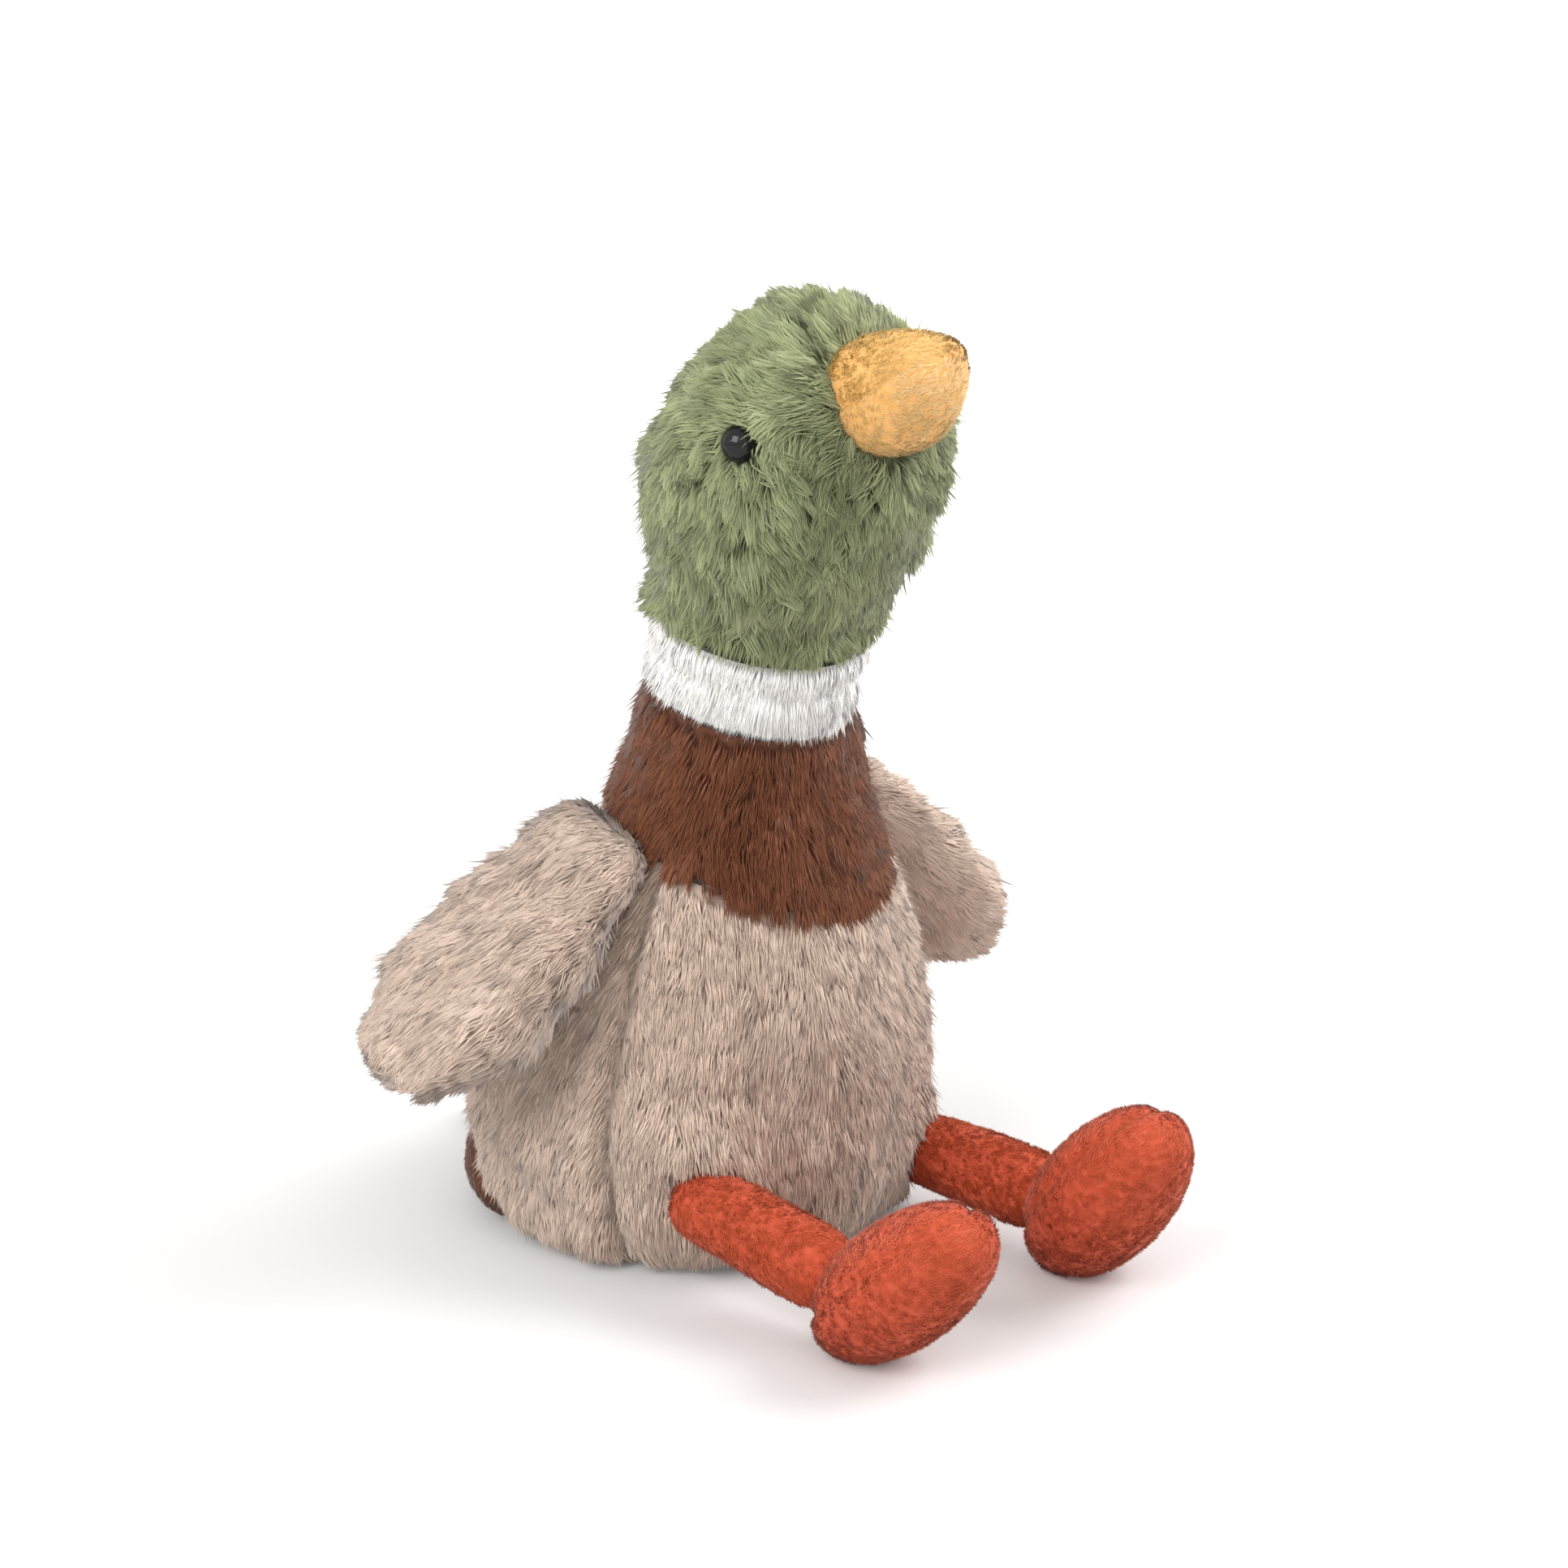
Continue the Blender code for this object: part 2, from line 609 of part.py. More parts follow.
def make_wing(side, sign):
    root, turn = wing_frame(side, sign)
    back, root_width, root_depth = WING_ROOT_SHARES
    rows = [(back * WING_ROOT_RADIUS, root_width * WING_WIDTH / 2, root_depth * WING_ROOT_RADIUS)]
    rows += [(s * WING_LENGTH, w * WING_WIDTH / 2, d * WING_DEPTH / 2) for s, w, d in WING_SHARES]
    mesh = limb_mesh("wing", -WING_ROOT_RADIUS, rows, WING_LENGTH)
    thick = (turn @ UP) * (1 if (turn @ UP).x * sign > 0 else -1)
    pieces = []
    for name, way in (("outer", thick), ("inner", -thick)):
        cover = add_object("wing_{}_{}".format(side, name), mesh.copy(), parts, TAUPE)
        place(cover, root, turn)
        soft(cover, wall=TRIM_WALL)
        cut(cover, beyond("wing_{}_{}_seam".format(side, name), root + SEAM_GAP / 2 * way, way))
        pieces.append(cover)
    stuffing = add_object("wing_{}_stuffing".format(side), mesh.copy(), parts, FIBRE)
    place(stuffing, root, turn)
    soft(stuffing, inset=TRIM_WALL + FILL_GAP)
    pieces.append(stuffing)
    pivot("wing_{}_hinge".format(side), root, turn, pieces)


def wing_pocket(side, sign):
    root, turn = wing_frame(side, sign)
    hinge = turn @ Vector((0, 1, 0))
    return rod("wing_{}_pocket".format(side), root, hinge, WING_ROOT_RADIUS, 2 * WING_WIDTH)


def foot_frame(side, sign):
    """Foot axes: X towards the toe, Y across, Z along the sole's normal."""
    yaw = Matrix.Rotation(-sign * FOOT_TOE_IN, 3, "Z")
    pitch = FOOT_PITCH[side]
    toe = yaw @ Vector((0, -math.cos(pitch), math.sin(pitch)))
    return axes(toe, yaw @ Vector((1, 0, 0)))


def foot_rows():
    return [((s - 0.5) * FOOT_LENGTH, w * FOOT_WIDTH / 2, d * FOOT_DEPTH / 2) for s, w, d in FOOT_SHARES]


def foot_mesh():
    return limb_mesh("foot", -FOOT_LENGTH / 2, foot_rows(), FOOT_LENGTH / 2)


def foot_depth_below(turn):
    """How far the rounded foot reaches below its own centre."""
    probe = soft(add_object("foot_probe", foot_mesh(), cutters))
    bpy.context.view_layer.update()
    shape = probe.evaluated_get(bpy.context.evaluated_depsgraph_get()).data
    lowest = min((turn @ vert.co).z for vert in shape.vertices)
    bpy.data.objects.remove(probe)
    return -lowest


def leg_places(side, sign):
    """Hip centre, ankle centre, leg axes, foot centre and foot axes of one side."""
    turn = foot_frame(side, sign)
    toe = turn @ Vector((1, 0, 0))
    sole = turn @ UP
    sole = sole * (1 if sole.z < 0 else -1)
    to_foot = ANKLE_BACK * toe + ANKLE_OUT * sole
    foot_height = foot_depth_below(turn) - FLAT_CUT
    hip = trunk_point(HIP_HEIGHT[side], HIP_AZIMUTH[side], sign, HIP_STAND_OFF)
    fall = (foot_height - to_foot.z - hip.z) / LEG_LENGTH
    level = math.sqrt(1 - fall ** 2)
    yaw = LEG_TOE_IN[side]
    along = Vector((-sign * math.sin(yaw) * level, -math.cos(yaw) * level, fall))
    ankle = hip + LEG_LENGTH * along
    leg_turn = axes(along, Vector((1, 0, 0)))
    return hip, ankle, leg_turn, ankle + to_foot, turn, sole


def leg_rows():
    rows = [(s * LEG_HIP_RADIUS, r * LEG_HIP_RADIUS, r * LEG_HIP_RADIUS) for s, r in LEG_SHARES]
    for s, r in LEG_END_SHARES:
        rows.append((LEG_LENGTH + s * LEG_ANKLE_RADIUS, r * LEG_ANKLE_RADIUS, r * LEG_ANKLE_RADIUS))
    return rows


def make_leg(side, sign):
    hip, ankle, leg_turn, foot_centre, foot_turn, sole = leg_places(side, sign)
    leg_shape = limb_mesh("leg", -LEG_HIP_RADIUS, leg_rows(), LEG_LENGTH + LEG_ANKLE_RADIUS)
    cover = add_object("leg_{}_cover".format(side), leg_shape, parts, RUST)
    place(cover, hip, leg_turn)
    soft(cover, wall=VELOUR_WALL)
    # The leg is open at the hip, where it is sewn into the side of the trunk
    along = leg_turn @ Vector((1, 0, 0))
    opening = beyond("leg_{}_opening".format(side), hip - (LEG_HIP_RADIUS - LEG_OPENING) * along, along)
    cut(cover, opening)
    stuffing = add_object("leg_{}_stuffing".format(side), leg_shape.copy(), parts, FIBRE)
    place(stuffing, hip, leg_turn)
    cut(soft(stuffing, inset=VELOUR_WALL + FILL_GAP), opening)
    pivot("leg_{}_swing".format(side), hip, leg_turn, (cover, stuffing))

    # Room for the leg in the foot: its own form, taller with the distance from the ankle
    room_rows = []
    end_room = 2 * SEAM_GAP + LEG_ANKLE_RADIUS / 2 * math.sin(ANKLE_SWING)
    for place_along, width, depth in leg_rows():
        swing_room = abs(LEG_LENGTH - place_along) * math.sin(ANKLE_SWING)
        room_rows.append((place_along, width + end_room, depth + end_room + swing_room))
    room_end = LEG_LENGTH + LEG_ANKLE_RADIUS + end_room
    room_mesh = limb_mesh("ankle_room", -LEG_HIP_RADIUS, room_rows, room_end)
    room = soft(add_object("ankle_{}_room".format(side), room_mesh, cutters))
    place(room, hip, leg_turn)
    floor = beyond("foot_{}_floor".format(side), Vector((0, 0, 0)), UP)
    seam = foot_centre - FOOT_SEAM_SET * sole
    foot_shape = foot_mesh()
    pieces = []
    for name, way in (("upper", -sole), ("sole", sole)):
        half = add_object("foot_{}_{}".format(side, name), foot_shape.copy(), parts, RUST)
        place(half, foot_centre, foot_turn)
        soft(half, wall=VELOUR_WALL)
        cut(half, beyond("foot_{}_{}_seam".format(side, name), seam + SEAM_GAP / 2 * way, way), floor, room)
        pieces.append(half)
    filling = add_object("foot_{}_stuffing".format(side), foot_shape.copy(), parts, FIBRE)
    place(filling, foot_centre, foot_turn)
    soft(filling, inset=VELOUR_WALL + FILL_GAP)
    cut(filling, room)
    pieces.append(filling)
    pivot("foot_{}_flex".format(side), ankle, leg_turn, pieces)


def hip_pocket(side, sign):
    hip = leg_places(side, sign)[0]
    return ball("hip_{}_pocket".format(side), hip, LEG_HIP_RADIUS, ROUND_SEGMENTS)


def tail_hinge():
    back = trunk_centre(TAIL_HEIGHT).y + trunk_radius(TAIL_HEIGHT)
    return Vector((0, back + TAIL_STAND_OFF, TAIL_HEIGHT))


def make_tail():
    """A short brown pad sewn on the rump, hidden from the front."""
    hinge = tail_hinge()
    turn = axes(Vector((0, 1, 0)), Vector((-1, 0, 0)))
    back, root_width, root_depth = TAIL_ROOT_SHARES
    rows = [(back * TAIL_ROOT_RADIUS, root_width * TAIL_WIDTH / 2, root_depth * TAIL_ROOT_RADIUS)]
    rows += [(s * TAIL_LENGTH, w * TAIL_WIDTH / 2, d * TAIL_DEPTH / 2) for s, w, d in TAIL_SHARES]
    mesh = limb_mesh("tail", -TAIL_ROOT_RADIUS, rows, TAIL_LENGTH)
    pieces = []
    for name, way in (("upper", UP), ("lower", -UP)):
        cover = add_object("tail_" + name, mesh.copy(), parts, CHESTNUT)
        place(cover, hinge, turn)
        soft(cover, wall=TRIM_WALL)
        cut(cover, beyond("tail_{}_seam".format(name), hinge + SEAM_GAP / 2 * way, way))
        pieces.append(cover)
    stuffing = add_object("tail_stuffing", mesh.copy(), parts, FIBRE)
    place(stuffing, hinge, turn)
    soft(stuffing, inset=TRIM_WALL + FILL_GAP)
    pieces.append(stuffing)
    pivot("tail_lift", hinge, Matrix.Identity(3), pieces)


def main():
    clear_scene()
    bpy.context.scene.collection.children.link(parts)
    bpy.context.scene.collection.children.link(cutters)
    hip_pockets = [hip_pocket(side, sign) for side, sign in SIDES]
    wing_pockets = [wing_pocket(side, sign) for side, sign in SIDES]
    across = Vector((1, 0, 0))
    tail_pocket = rod("tail_pocket", tail_hinge(), across, TAIL_ROOT_RADIUS + SEAM_GAP, 2 * TAIL_WIDTH)
    make_trunk(hip_pockets, wing_pockets, tail_pocket)
    make_collar()
    make_head()
    for side, sign in SIDES:
        make_wing(side, sign)
        make_leg(side, sign)
    make_tail()


main()
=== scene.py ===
"""A sitting plush duck: long pile, velour, glossy eyes and a pale studio, dressed over its solid parts."""

import math

import bpy
import numpy as np
from bpy.props import FloatProperty, FloatVectorProperty, IntProperty, PointerProperty
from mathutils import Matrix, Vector


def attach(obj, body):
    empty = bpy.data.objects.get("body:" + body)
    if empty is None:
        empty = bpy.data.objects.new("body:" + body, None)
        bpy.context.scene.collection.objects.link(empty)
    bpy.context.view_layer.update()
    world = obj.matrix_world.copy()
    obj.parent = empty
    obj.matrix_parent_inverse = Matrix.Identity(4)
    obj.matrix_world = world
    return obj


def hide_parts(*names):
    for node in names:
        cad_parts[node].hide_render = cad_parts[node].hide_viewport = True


bl_info = {
    "name": "Plush Duck",
    "version": (1, 0, 0),
    "blender": (4, 5, 0),
    "location": "3D View > Sidebar > Plush Duck",
    "description": "Pile, velour, eyes and a pale studio for a sitting plush duck",
    "category": "Object",
}

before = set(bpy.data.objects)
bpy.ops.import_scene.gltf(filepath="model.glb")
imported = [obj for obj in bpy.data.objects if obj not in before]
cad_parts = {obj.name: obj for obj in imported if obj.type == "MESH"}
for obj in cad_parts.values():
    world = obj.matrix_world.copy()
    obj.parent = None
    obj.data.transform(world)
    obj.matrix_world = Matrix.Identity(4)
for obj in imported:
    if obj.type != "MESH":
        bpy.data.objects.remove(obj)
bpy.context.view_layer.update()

MM = 0.001
SQUARE_MM = 1e-6
STEP = 1e-3
FLOOR_CLEARANCE = 0.0003
BAKE_MAP = "OFBake"
# Steps that scatter a row of numbers evenly between 0 and 1
SPREAD_ACROSS = 0.618034
SPREAD_UP = 0.7548777

# Forms as the solid parts have them, in millimetres: height, place along Y, radius
TRUNK_ROWS = (
    (0.0, -1.0, 39.5), (0.6, -1.0, 42.5), (3.0, -1.1, 48.8), (6.0, -1.2, 50.8), (16.0, -2.0, 53.5),
    (28.0, -3.5, 54.1), (42.0, -5.8, 52.9), (56.0, -8.4, 50.0), (70.0, -11.3, 45.3), (84.0, -13.9, 39.4),
    (98.0, -15.9, 33.3), (110.0, -17.4, 29.0), (122.0, -18.9, 26.1), (132.0, -20.4, 25.1), (144.0, -22.8, 24.6),
)
HEAD_ROWS = (
    (136.0, -22.4, 22.0), (144.0, -24.1, 24.3), (152.0, -27.0, 26.0), (161.0, -31.1, 28.9), (170.6, -34.2, 32.0),
    (180.0, -36.1, 33.8), (189.0, -37.0, 33.9), (199.0, -37.5, 31.7), (208.0, -37.8, 27.4), (217.0, -38.0, 19.2),
    (222.5, -38.1, 10.0), (224.4, -38.1, 0.0),
)
# Limbs: place along, half width, half depth
WING_ROWS = (
    (-4.76, 0, 0), (-4.0, 9.03, 2.59), (-2.0, 12.28, 3.91), (0.0, 13.58, 4.43), (7.0, 16.58, 5.65),
    (18.0, 19.09, 6.68), (30.0, 20.86, 7.38), (42.0, 21.18, 7.53), (54.0, 18.97, 6.78), (60.0, 16.42, 5.88),
    (64.0, 14.06, 5.02), (67.0, 10.92, 3.76), (69.0, 5.36, 2.24), (69.8, 0, 0),
)
LEG_ROWS = (
    (-8.3, 0, 0), (-7.6, 4.9, 4.8), (-6.0, 7.0, 6.9), (-4.0, 8.0, 8.0), (0.0, 8.5, 8.5), (8.0, 8.9, 8.9),
    (20.0, 9.3, 9.3), (32.0, 8.87, 8.8), (36.0, 7.96, 7.71), (40.0, 6.19, 6.09), (42.5, 3.4, 3.4), (43.55, 0, 0),
)
FOOT_ROWS = (
    (-26.09, 0, 0), (-24.0, 7.49, 6.12), (-21.0, 10.24, 8.7), (-17.0, 12.66, 10.78), (-12.0, 14.3, 12.12),
    (-7.0, 15.44, 13.03), (-2.0, 15.84, 13.28), (3.0, 15.72, 13.12), (8.0, 15.1, 12.54), (13.0, 13.68, 11.32),
    (17.0, 12.2, 10.08), (21.0, 9.65, 7.94), (24.0, 6.89, 5.48), (26.09, 0, 0),
)
TAIL_ROWS = (
    (-4.12, 0, 0), (-3.5, 6.71, 2.42), (-2.0, 9.24, 3.7), (0.0, 10.69, 4.48), (4.0, 11.39, 5.1), (7.0, 10.73, 5.01),
    (10.0, 9.63, 4.7), (13.0, 7.85, 4.02), (15.0, 5.45, 2.69), (15.99, 0, 0),
)
# Bill: place along, half width, height of the upper half, depth of the lower
BILL_ROWS = (
    (1.36, 0, 0, 0), (3.0, 8.7, 9.5, 8.6), (6.0, 12.1, 13.4, 11.0), (10.0, 13.9, 14.9, 11.6),
    (14.0, 14.8, 15.1, 12.2), (18.0, 14.9, 14.4, 13.1), (22.0, 14.7, 13.2, 13.8), (25.0, 14.3, 11.9, 13.7),
    (28.0, 13.6, 10.3, 12.5), (30.0, 12.8, 9.0, 11.2), (32.0, 11.7, 7.5, 9.5), (33.6, 10.2, 6.0, 7.7),
    (35.0, 8.0, 4.3, 5.6), (36.0, 5.2, 2.6, 3.4), (36.5, 0, 0, 0),
)
BILL_LIFT = 6.0 * MM

# Places of the joined pieces, in millimetres, with each limb's own three axes
NECK_AXIS = np.array((0.0, -0.2419, 0.9703))
NECK_ACROSS = np.array((1.0, 0.0, 0.0))
NECK_AHEAD = np.cross(NECK_ACROSS, NECK_AXIS)
NECK_TOP = np.array((0.0, -20.0, 129.5)) * MM
BIB_POINT = np.array((0.0, -20.0, 98.5)) * MM
BIB_AXIS = np.array((0.0, -0.3256, 0.9455))
NOD_CENTRE = np.array((0.0, -29.03, 165.7)) * MM
BALL_RADIUS = 29.5 * MM
# The share of the head's backing, from pole to crown, that lies on the ball
BALL_SHARE = 0.25
SIDE_SEAM = 24.5 * MM
# Points further from the middle plane than this lie at the trunk's sides, and about there its side seams turn
SIDES_FROM = 15 * MM
SEAM_TURN = 1.2
RUMP_HALF_TURN = 1.2
RUMP_START = 6.0 * MM
RUMP_UP = np.array((0.0, -0.5446, 0.8387))
GUSSET_EDGE = 10.0 * MM
# Points ahead of this lie on the face
FACE_FROM = -45 * MM
WINGS = {
    "left": (
        (39.23, -8.13, 96.09), ((0.6153, 0.0215, -0.788), (-0.2879, 0.9367, -0.1993), (0.7338, 0.3495, 0.5825))),
    "right": (
        (-36.69, -8.98, 98.94), ((-0.6938, 0.2663, -0.6691), (0.1858, 0.9639, 0.191), (0.6958, 0.0082, -0.7182))),
}
LEGS = {
    "left": ((31.93, -49.25, 15.5), ((0.0523, -0.9984, -0.0192), (0.9986, 0.0523, 0.001), (0.0, -0.0192, 0.9998))),
    "right": ((-38.06, -46.36, 22.5), ((0.1029, -0.9788, -0.1771), (0.9947, 0.1012, 0.0183), (0.0, -0.1781, 0.984))),
}
FEET = {
    "left": ((32.21, -103.49, 22.27), ((-0.0644, -0.6123, 0.788), (0.9945, -0.1045, 0.0), (0.0824, 0.7837, 0.6157))),
    "right": ((-32.34, -100.83, 20.61), ((0.0764, -0.7273, 0.682), (0.9945, 0.1045, 0.0), (-0.0713, 0.6783, 0.7314))),
}
FOOT_SEAM = 5.0 * MM
TAIL = ((0.0, 54.38, 6.8), ((0.0, 1.0, 0.0), (-1.0, 0.0, 0.0), (0.0, 0.0, 1.0)))
BILL = ((0.0, -47.28, 197.28), ((0.0, -0.9397, 0.342), (1.0, 0.0, 0.0), (0.0, 0.342, 0.9397)))
EYES = {
    "left": ((27.27, -45.81, 195.68), (0.9279, -0.2837, 0.2419)),
    "right": ((-27.27, -45.81, 195.68), (-0.9279, -0.2837, 0.2419)),
}

# Each kind of pile: strands a square millimetre, strands a lock, the lock's spread, strand length and width,
# rise off the skin at the root and the tip, how far a lock's tips gather, how far locks stray, depth of the skin
PILES = {
    "body": (4.6, 12, 0.95, 6.8, 0.25, 0.55, 0.16, 0.32, 0.13, 3.0),
    "neck": (5.0, 12, 0.95, 6.8, 0.24, 0.55, 0.17, 0.32, 0.12, 2.6),
    "ring": (7.4, 12, 0.95, 8.0, 0.28, 0.42, 0.14, 0.26, 0.08, 3.4),
    "head": (6.0, 30, 1.45, 9.4, 0.22, 0.70, 0.30, 0.58, 0.38, 4.8),
    "wing": (4.8, 16, 1.15, 8.0, 0.25, 0.55, 0.18, 0.38, 0.20, 1.4),
    "tail": (4.4, 12, 1.00, 5.4, 0.25, 0.55, 0.18, 0.35, 0.16, 1.3),
    "velour": (6.6, 8, 0.50, 1.3, 0.25, 0.85, 0.60, 0.10, 0.3, 0.7),
}
# The thickness of the panels' backing in millimetres, and how far up its map the velour's backing lies
BACKING_WALL = 1.2
VELOUR_BACKING_LIFT = 0.2

# The stage, in metres, and the photograph's frame and focal length in its own pixels
FLOOR_HALF = 3.0
LAMP_AIM = (0.0, -0.03, 0.10)
CAMERA_PLACE = (-0.568, -0.600, 0.371)
CAMERA_AIM = (0.0372, 0.0056, 0.0931)
SENSOR_MM = 36.0
FOCAL_PIXELS = 4590.0
IMAGE_PIXELS = 1932.0


def unit(v):
    """Vectors scaled to a length of 1."""
    return v / np.maximum(np.linalg.norm(v, axis=-1, keepdims=True), 1e-12)


def dot(a, b):
    """The sum of two rows of vectors' products, one by one."""
    return (a * b).sum(-1)


def bell(value, width):
    """1 at zero, falling off as the square of value over width in the exponent."""
    return np.exp(-(value / width) ** 2)


def ramp(value, start, end):
    """From 0 to 1 while the value, in metres, goes from the start to the end, in millimetres."""
    return np.clip((value - start * MM) / ((end - start) * MM), 0, 1)


def run(xs, ys, x):
    """A smooth curve through a table: on each stretch a cubic with the table's own mean slopes at its ends."""
    slopes = np.gradient(ys, xs)
    i = np.clip(np.searchsorted(xs, x) - 1, 0, len(xs) - 2)
    h = xs[i + 1] - xs[i]
    t = np.clip((x - xs[i]) / h, 0, 1)
    rise = 3 * t ** 2 - 2 * t ** 3
    start = h * slopes[i] * (t ** 3 - 2 * t ** 2 + t)
    end = h * slopes[i + 1] * (t ** 3 - t ** 2)
    return (1 - rise) * ys[i] + rise * ys[i + 1] + start + end


def waves(points, rng, size, count=7):
    """Smooth noise from -1 to 1: the mean of sine waves of one rough length in random directions."""
    total = np.zeros(len(points))
    for _ in range(count):
        way = unit(rng.standard_normal(3)) * (2 * math.pi / (size * rng.uniform(0.7, 1.4)))
        total += np.sin(points @ way + rng.uniform(0, 2 * math.pi))
    return np.clip(total / count * 1.8, -1, 1)


def turned(rows):
    """A round upright form: at each climb along its outline a height, middle and radius, turned from the front."""
    table = np.array(rows) * MM
    steps = np.hypot(np.diff(table[:, 0]), np.diff(table[:, 2]))
    reach = np.concatenate(([0], np.cumsum(steps))) / steps.sum()

    def form(turn, climb):
        height, middle, radius = (run(reach, table[:, k], climb) for k in range(3))
        return np.stack((radius * np.sin(turn), middle - radius * np.cos(turn), height), -1)
    return form


def limb(rows, place, section):
    """A form along its own X, round at both ends: x goes from the first row's place to the last row's as
    (1 - cos(pi v)) / 2, and the section gives y and z from the rows' other columns there and the turn 2 pi u."""
    table = np.array(rows, float) * MM
    first, last = table[0, 0], table[-1, 0]
    shares = np.arccos(np.clip(1 - 2 * (table[:, 0] - first) / (last - first), -1, 1)) / math.pi
    origin = np.array(place[0]) * MM
    turn = np.array(place[1])

    def surface(u, v):
        v = np.clip(v, 0, 1)
        along = first + (last - first) * (1 - np.cos(math.pi * v)) / 2
        sizes = [run(shares, column, v) for column in table.T[1:]]
        local = np.stack((along, *section(along, np.cos(2 * math.pi * u), np.sin(2 * math.pi * u), *sizes)), -1)
        return origin + local @ turn
    return surface


def oval(along, across, rise, width, depth):
    """y is the half width times the cosine, z the half depth times the sine."""
    return width * across, depth * rise


def bill_middle(along):
    """Height of the bill's seam, which lifts towards the tip as the power 1.5 of the way."""
    return BILL_LIFT * ramp(along, 10, 36.5) ** 1.5


def wedge(along, across, rise, width, above, below):
    """The bill's section round its seam: the cosine is raised to 0.9, and the upper half's sine to 0.85."""
    height = np.where(rise > 0, above * np.abs(rise) ** 0.85, -below * np.abs(rise)) + bill_middle(along)
    return width * np.sign(across) * np.abs(across) ** 0.9, height


def local_to(place, points):
    """Points in a limb's own axes, in metres."""
    return (points - np.array(place[0]) * MM) @ np.array(place[1]).T


trunk = turned(TRUNK_ROWS)
head = turned(HEAD_ROWS)
bill = limb(BILL_ROWS, BILL, wedge)


def level_of(form, far, turns=96, climbs=240):
    """For each turn round a form, the climb at which far(points) first rises above zero, read off a fine grid."""
    turn = np.linspace(-math.pi, math.pi, turns + 1)
    climb = np.linspace(0, 1, climbs)
    grid_turn, grid_climb = np.meshgrid(turn, climb, indexing="ij")
    above = far(form(grid_turn, grid_climb)) > 0
    found = climb[np.where(above.any(1), above.argmax(1), climbs - 1)]

    def level(wanted):
        return np.interp((wanted + math.pi) % (2 * math.pi) - math.pi, turn, found)
    return level


def above_neck(points):
    """Height over the neck's end, along its axis."""
    return (points - NECK_TOP) @ NECK_AXIS


def above_rump(points):
    """Height over the rump's slanting edge."""
    return (points - np.array((0, RUMP_START, 0))) @ RUMP_UP


def above_bib(points):
    """Height over the bib's lower edge, which dips 2 mm in front and rises 1 mm at the sides."""
    dip = 3.0 * np.exp(-(points[..., 0] / (20 * MM)) ** 2) * (points[..., 1] < -20 * MM) - 1.0
    return (points - BIB_POINT) @ BIB_AXIS + dip * MM


bib_level = level_of(trunk, above_bib)
neck_level = level_of(trunk, above_neck)
rump_level = level_of(trunk, above_rump)
rim_level = level_of(head, lambda points: BALL_RADIUS - np.linalg.norm(points - NOD_CENTRE, axis=-1))


def side_turn(climb):
    """The turn at which the trunk's skin crosses the side seam's upright plane."""
    middle = trunk(np.full_like(climb, math.pi / 2), climb)
    share = (middle[..., 1] + SIDE_SEAM) / np.maximum(middle[..., 0], MM)
    return np.arccos(np.clip(share, -1, 1))


def front_panel(u, v):
    """The trunk from seam to seam in front, from the base up to the bib."""
    side = 2 * u - 1
    climb = v * bib_level(side * SEAM_TURN)
    return trunk(side * side_turn(climb), climb)


def back_panel(sign):
    """The trunk from a side seam to the back seam, from the rump's edge up to the bib."""
    def surface(u, v):
        w = u if sign > 0 else 1 - u
        guess = SEAM_TURN + (math.pi - SEAM_TURN) * w
        low = rump_level(guess)
        climb = low + v * (bib_level(guess) - low)
        seam = side_turn(climb)
        return trunk(sign * (seam + (math.pi - seam) * w), climb)
    return surface


def rump_panel(u, v):
    """The trunk's low back, under a slanting edge."""
    turn = math.pi + (2 * u - 1) * RUMP_HALF_TURN
    return trunk(turn, v * np.maximum(rump_level(turn), 0.01))


def neck_panel(u, v):
    """The trunk from the bib's edge up to the neck's end."""
    turn = (2 * u - 1) * math.pi
    low = bib_level(turn)
    return trunk(turn, low + v * (neck_level(turn) - low))


def round_neck(turn, height, radius):
    """A point on a circle in the neck's own two cross directions, carried a height up its axis."""
    way = np.sin(turn)[..., None] * NECK_ACROSS + np.cos(turn)[..., None] * NECK_AHEAD
    return NECK_TOP + height[..., None] * NECK_AXIS + radius[..., None] * way


def ring_band(u, v):
    """A straight band round the neck, its radius swelling by the sine of pi v."""
    return round_neck((2 * u - 1) * math.pi, (1.0 + 17.9 * v) * MM, 25.0 * MM * (1 + 0.03 * np.sin(math.pi * v)))


def head_panel(u, v):
    """The head from the rim of its ball seat up to the crown."""
    turn = (2 * u - 1) * math.pi
    low = rim_level(turn)
    return head(turn, low + v * (1 - low))


def at(surface, u, v):
    """Points on a surface, its outward normals and its two runs, from a small step each way."""
    along_u = (surface(u + STEP, v) - surface(u - STEP, v)) / (2 * STEP)
    along_v = (surface(u, v + STEP) - surface(u, v - STEP)) / (2 * STEP)
    return surface(u, v), unit(np.cross(along_u, along_v)), along_u, along_v


def sow(surface, rng, density, cells=(72, 96)):
    """Random places spread evenly over a surface: a grid cell is drawn by its area, then a place in it."""
    i, j = np.meshgrid(np.arange(cells[0]), np.arange(cells[1]), indexing="ij")
    i, j = i.ravel(), j.ravel()
    _, _, along_u, along_v = at(surface, (i + 0.5) / cells[0], (j + 0.5) / cells[1])
    area = np.linalg.norm(np.cross(along_u, along_v), axis=-1) / (cells[0] * cells[1])
    total = area.sum()
    count = int(total / SQUARE_MM * density)
    drawn = np.searchsorted(np.cumsum(area), rng.random(count) * total * 0.999999)
    u = (i[drawn] + rng.random(count)) / cells[0]
    v = (j[drawn] + rng.random(count)) / cells[1]
    return u, v


